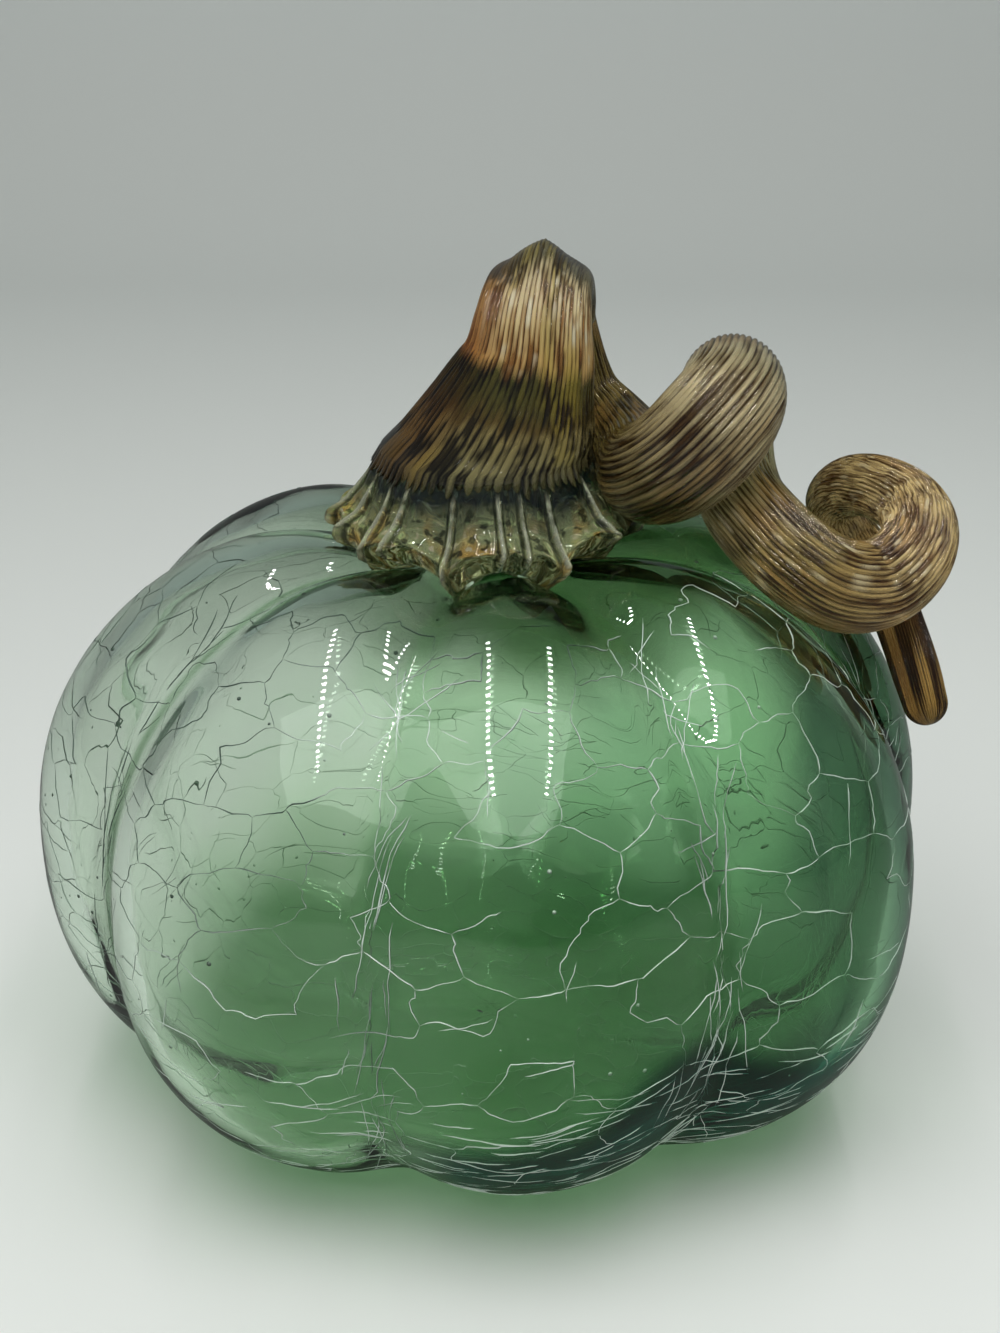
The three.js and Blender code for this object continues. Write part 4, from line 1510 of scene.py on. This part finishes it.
stripes = makeStripes()
caneLook = {
    "roughness": 0.04,
    "coat": 0.35,
    "patchShare": 0.55,
    "patchDark": (0.05, 0.025, 0.006, 1),
    "stripeInGroove": 0.3,
    "grooveAt": (0.05, 0.55),
}
stemLook = {
    "start": 0.0,
    "length": 47.4 * mm,
    "clear": 0.55,
    "stripes": {"Streak": 150.0, "Far Streak": 0.0, "Far From": 1.0, "Contrast": 9.0, "Wave": 0.0},
    "edge": 0.12,
    "patch": (0.55, 0.42, 0.06, 1),
    # painted shade in the grooves
    "grooveShade": (0.16, 0.12, 0.08, 1),
    # painted glints
    "glintColour": (1.0, 0.90, 0.60, 1),
    # painted shade on the left side
    "leftTint": (0.55, 0.36, 0.24, 1),
    "light": [
        (0.00, (0.26, 0.24, 0.11, 1)), (0.03, (0.34, 0.30, 0.13, 1)), (0.15, (0.34, 0.27, 0.10, 1)),
        (0.19, (0.15, 0.10, 0.025, 1)), (0.24, (0.10, 0.082, 0.018, 1)), (0.32, (0.10, 0.095, 0.022, 1)),
        (0.36, (0.96, 0.62, 0.22, 1)), (0.46, (0.98, 0.80, 0.42, 1)), (0.56, (0.86, 0.72, 0.42, 1)),
        (0.61, (0.24, 0.22, 0.12, 1)), (1.00, (0.30, 0.24, 0.10, 1)),
    ],
    "dark": [
        (0.00, (0.012, 0.012, 0.007, 1)), (0.08, (0.03, 0.024, 0.008, 1)),
        (0.16, (0.03, 0.022, 0.007, 1)), (0.22, (0.010, 0.009, 0.004, 1)), (0.33, (0.014, 0.012, 0.005, 1)),
        (0.37, (0.34, 0.15, 0.035, 1)), (0.46, (0.42, 0.22, 0.07, 1)), (0.58, (0.14, 0.11, 0.05, 1)),
        (1.00, (0.05, 0.03, 0.01, 1)),
    ],
    "glints": [
        (0.00, (0, 0, 0, 1)), (0.34, (0, 0, 0, 1)), (0.40, (1, 1, 1, 1)), (0.56, (1, 1, 1, 1)),
        (0.60, (0, 0, 0, 1)),
    ],
}
vineLook = {
    "start": foldEnd * mm,
    "length": 211.7 * mm,
    "clear": 0.68,
    "stripes": {"Streak": 110.0, "Far Streak": 120.0, "Far From": 0.185, "Contrast": 7.5, "Wave": 0.045},
    "edge": 0.04,
    "patch": (0.62, 0.30, 0.06, 1),
    # painted shade in the grooves
    "grooveShade": (0.22, 0.15, 0.10, 1),
    # painted glints
    "glintColour": (1.0, 0.86, 0.52, 1),
    # no painted shade on the left side of the vine
    "leftTint": (1, 1, 1, 1),
    "light": [
        (0.00, (0.26, 0.20, 0.06, 1)), (0.12, (0.36, 0.26, 0.08, 1)), (0.20, (0.28, 0.21, 0.06, 1)),
        (0.25, (0.72, 0.56, 0.26, 1)), (0.30, (0.96, 0.80, 0.46, 1)), (0.35, (0.96, 0.86, 0.56, 1)),
        (0.46, (0.74, 0.70, 0.38, 1)), (0.56, (0.62, 0.44, 0.14, 1)), (0.61, (0.64, 0.45, 0.16, 1)),
        (0.66, (0.92, 0.69, 0.31, 1)), (0.78, (0.92, 0.68, 0.29, 1)), (0.90, (0.86, 0.54, 0.17, 1)),
        (1.00, (0.72, 0.44, 0.12, 1)),
    ],
    "dark": [
        (0.00, (0.03, 0.02, 0.006, 1)), (0.16, (0.035, 0.02, 0.006, 1)), (0.26, (0.08, 0.035, 0.008, 1)),
        (0.32, (0.16, 0.085, 0.025, 1)), (0.40, (0.20, 0.13, 0.045, 1)), (0.50, (0.12, 0.08, 0.02, 1)),
        (0.58, (0.08, 0.04, 0.01, 1)), (0.66, (0.15, 0.065, 0.016, 1)), (0.80, (0.12, 0.05, 0.012, 1)),
        (0.90, (0.04, 0.014, 0.004, 1)), (1.00, (0.025, 0.008, 0.002, 1)),
    ],
    "glints": [
        (0.00, (0, 0, 0, 1)), (0.45, (0.25, 0.25, 0.25, 1)), (0.60, (0.9, 0.9, 0.9, 1)),
        (0.80, (0.5, 0.5, 0.5, 1)), (0.88, (0, 0, 0, 1)),
    ],
}


def makeCaneGlass(name, look, count):
    material, shader = newGlass(name, caneLook["roughness"], look["clear"])
    shader.inputs["Coat Weight"].default_value = caneLook["coat"]
    tree = material.node_tree
    parts = useGroup(material, stripes, {"Ribs": float(count["ribs"]), **look["stripes"]})
    share = (parts["Along"] - look["start"]) / look["length"] + (parts["Edge"] - 0.5) * look["edge"]
    stripe = between(parts["Stripe"], 0.0, 1.0)
    colour = mixColours(tree, stripe, ramp(tree, share, look["dark"]), ramp(tree, share, look["light"]))
    patch = mixColours(tree, stripe, caneLook["patchDark"], look["patch"])
    colour = mixColours(tree, parts["Patch"] * caneLook["patchShare"], colour, patch)
    # painted glints: short bright highlights on the ribs
    glint = mixColours(tree, parts["Glint"], (0, 0, 0, 1), ramp(tree, share, look["glints"]))
    colour = mixColours(tree, glint, colour, look["glintColour"])
    # painted shade: the left side of the stem darker and redder
    tinted = mixColours(tree, 1.0, colour, look["leftTint"], "MULTIPLY")
    colour = mixColours(tree, parts["Left"], colour, tinted)
    # painted shade in the grooves between the ribs
    groove = smooth(tree, parts["Groove"] + stripe * caneLook["stripeInGroove"], *caneLook["grooveAt"])
    colour = mixColours(tree, groove, mixColours(tree, 1.0, colour, look["grooveShade"], "MULTIPLY"), colour)
    plug(tree, colour, shader.inputs["Base Color"])
    return material


footLook = {
    "roughness": 0.0,
    "transmission": 0.76,
    "bands": [
        (0.00, (0.012, 0.018, 0.012, 1)), (0.22, (0.010, 0.018, 0.024, 1)), (0.36, (0.22, 0.26, 0.14, 1)),
        (0.55, (0.44, 0.48, 0.25, 1)), (0.80, (0.50, 0.52, 0.26, 1)), (1.00, (0.34, 0.28, 0.11, 1)),
    ],
    "bandEdge": 0.4,
    "amber": (0.92, 0.55, 0.12, 1),
    "clear": (0.52, 0.62, 0.30, 1),
    "tintShare": 0.8,
    # painted glints
    "glint": (1.00, 0.92, 0.60, 1),
    "shade": (0.03, 0.04, 0.02, 1),
    # pale fins, with a painted highlight
    "fin": (0.90, 0.94, 0.70, 1),
    # painted shade beside each fin
    "beside": (0.015, 0.022, 0.012, 1),
    "shadowTint": (0.8, 0.72, 0.5, 1),
    "grains": [(26.0, 2.2, 5.0), (18.0, 1.5, 11.0), (70.0, 9.0, 23.0), (34.0, 5.0, 47.0)],
    "amberFrom": 0.50,
    "amberEdge": 8.0,
    "lowFrom": 0.3,
    "lowEdge": 3.0,
    "shadeAt": (0.46, 0.38),
    "shadeShare": 0.85,
    "glintAt": (0.60, 0.65),
    "finsFrom": (0.08, 0.26),
    "besideAt": (0.02, 0.15),
    "besideEnd": (0.3, 0.6),
    "besideShare": 0.8,
    "finAt": (0.45, 0.85),
    "brokenAt": (0.32, 0.52),
}


# Bands down the foot, amber and clear patches below with painted glints, and fins that are pale and carry a
# painted highlight, with a line of painted shade beside
def makeFootGlass():
    look = footLook
    material, shader = newGlass("foot glass", look["roughness"], look["transmission"])
    tree = material.node_tree
    around, drop = glassMap(tree)
    patches, edge, spots, broken = (grainNoise(tree, around, drop, grain) for grain in look["grains"])
    amber = between((patches - look["amberFrom"]) * look["amberEdge"], 0.0, 1.0)
    tint = mixColours(tree, amber, look["clear"], look["amber"])
    bands = ramp(tree, drop + (edge - 0.5) * look["bandEdge"], look["bands"])
    low = between((drop - look["lowFrom"]) * look["lowEdge"], 0.0, 1.0)
    colour = mixColours(tree, low * look["tintShare"], bands, tint)
    shade = smooth(tree, spots, *look["shadeAt"]) * look["shadeShare"]
    colour = mixColours(tree, shade, colour, look["shade"])
    # painted glints on the lower foot
    colour = mixColours(tree, smooth(tree, spots, *look["glintAt"]) * low, colour, look["glint"])
    mark = tree.nodes.new("ShaderNodeAttribute")
    mark.attribute_name = "finShare"
    fin = Wire(tree, mark.outputs["Fac"])
    finned = smooth(tree, drop, *look["finsFrom"])
    # painted shade in the groove beside each fin
    beside = smooth(tree, fin, *look["besideAt"]) * (1.0 - smooth(tree, fin, *look["besideEnd"])) * finned
    colour = mixColours(tree, beside * look["besideShare"], colour, look["beside"])
    # pale fins: paler glass with a painted highlight along them
    pale = smooth(tree, fin, *look["finAt"]) * finned * smooth(tree, broken, *look["brokenAt"])
    colour = mixColours(tree, pale, colour, look["fin"])
    plug(tree, colour, shader.inputs["Base Color"])
    passShadows(material, shader, look["shadowTint"])
    return material


def handOver(piece, node):
    print(piece.name + ":", triangles(piece), "triangles")
    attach(piece, "root")
    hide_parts(node)


stemGlass = makeCaneGlass("stem glass", stemLook, stemRibs)
vineGlass = makeCaneGlass("vine glass", vineLook, vineRibs)
stemPath = canePath("stem_path", 0.0, foldEnd, stemRibs["spacing"], False, stemRibs["sink"])
handOver(caneTree(stemGlass, stemRibs).run("folded_stem", stemPath), "ribbed_stem")
vinePath = canePath("vine_path", foldEnd, cane["along"][-1] - vineRibs["short"], vineRibs["spacing"], True)
handOver(caneTree(vineGlass, vineRibs).run("curled_vine", vinePath), "coiled_vine")
finMarks = makeFinMarks()
foot = footTree(finMarks, makeFootGlass()).run("finned_foot", makeFootPath())
handOver(foot, "fluted_foot")
bpy.data.objects.remove(finMarks)
bpy.data.objects.remove(skin)

scene = bpy.context.scene
scene.view_settings.view_transform = "Standard"

# light has to pass many walls of glass
scene.cycles.max_bounces = 32
scene.cycles.transmission_bounces = 28
scene.cycles.transparent_max_bounces = 48
scene.cycles.caustics_reflective = False
scene.cycles.caustics_refractive = False
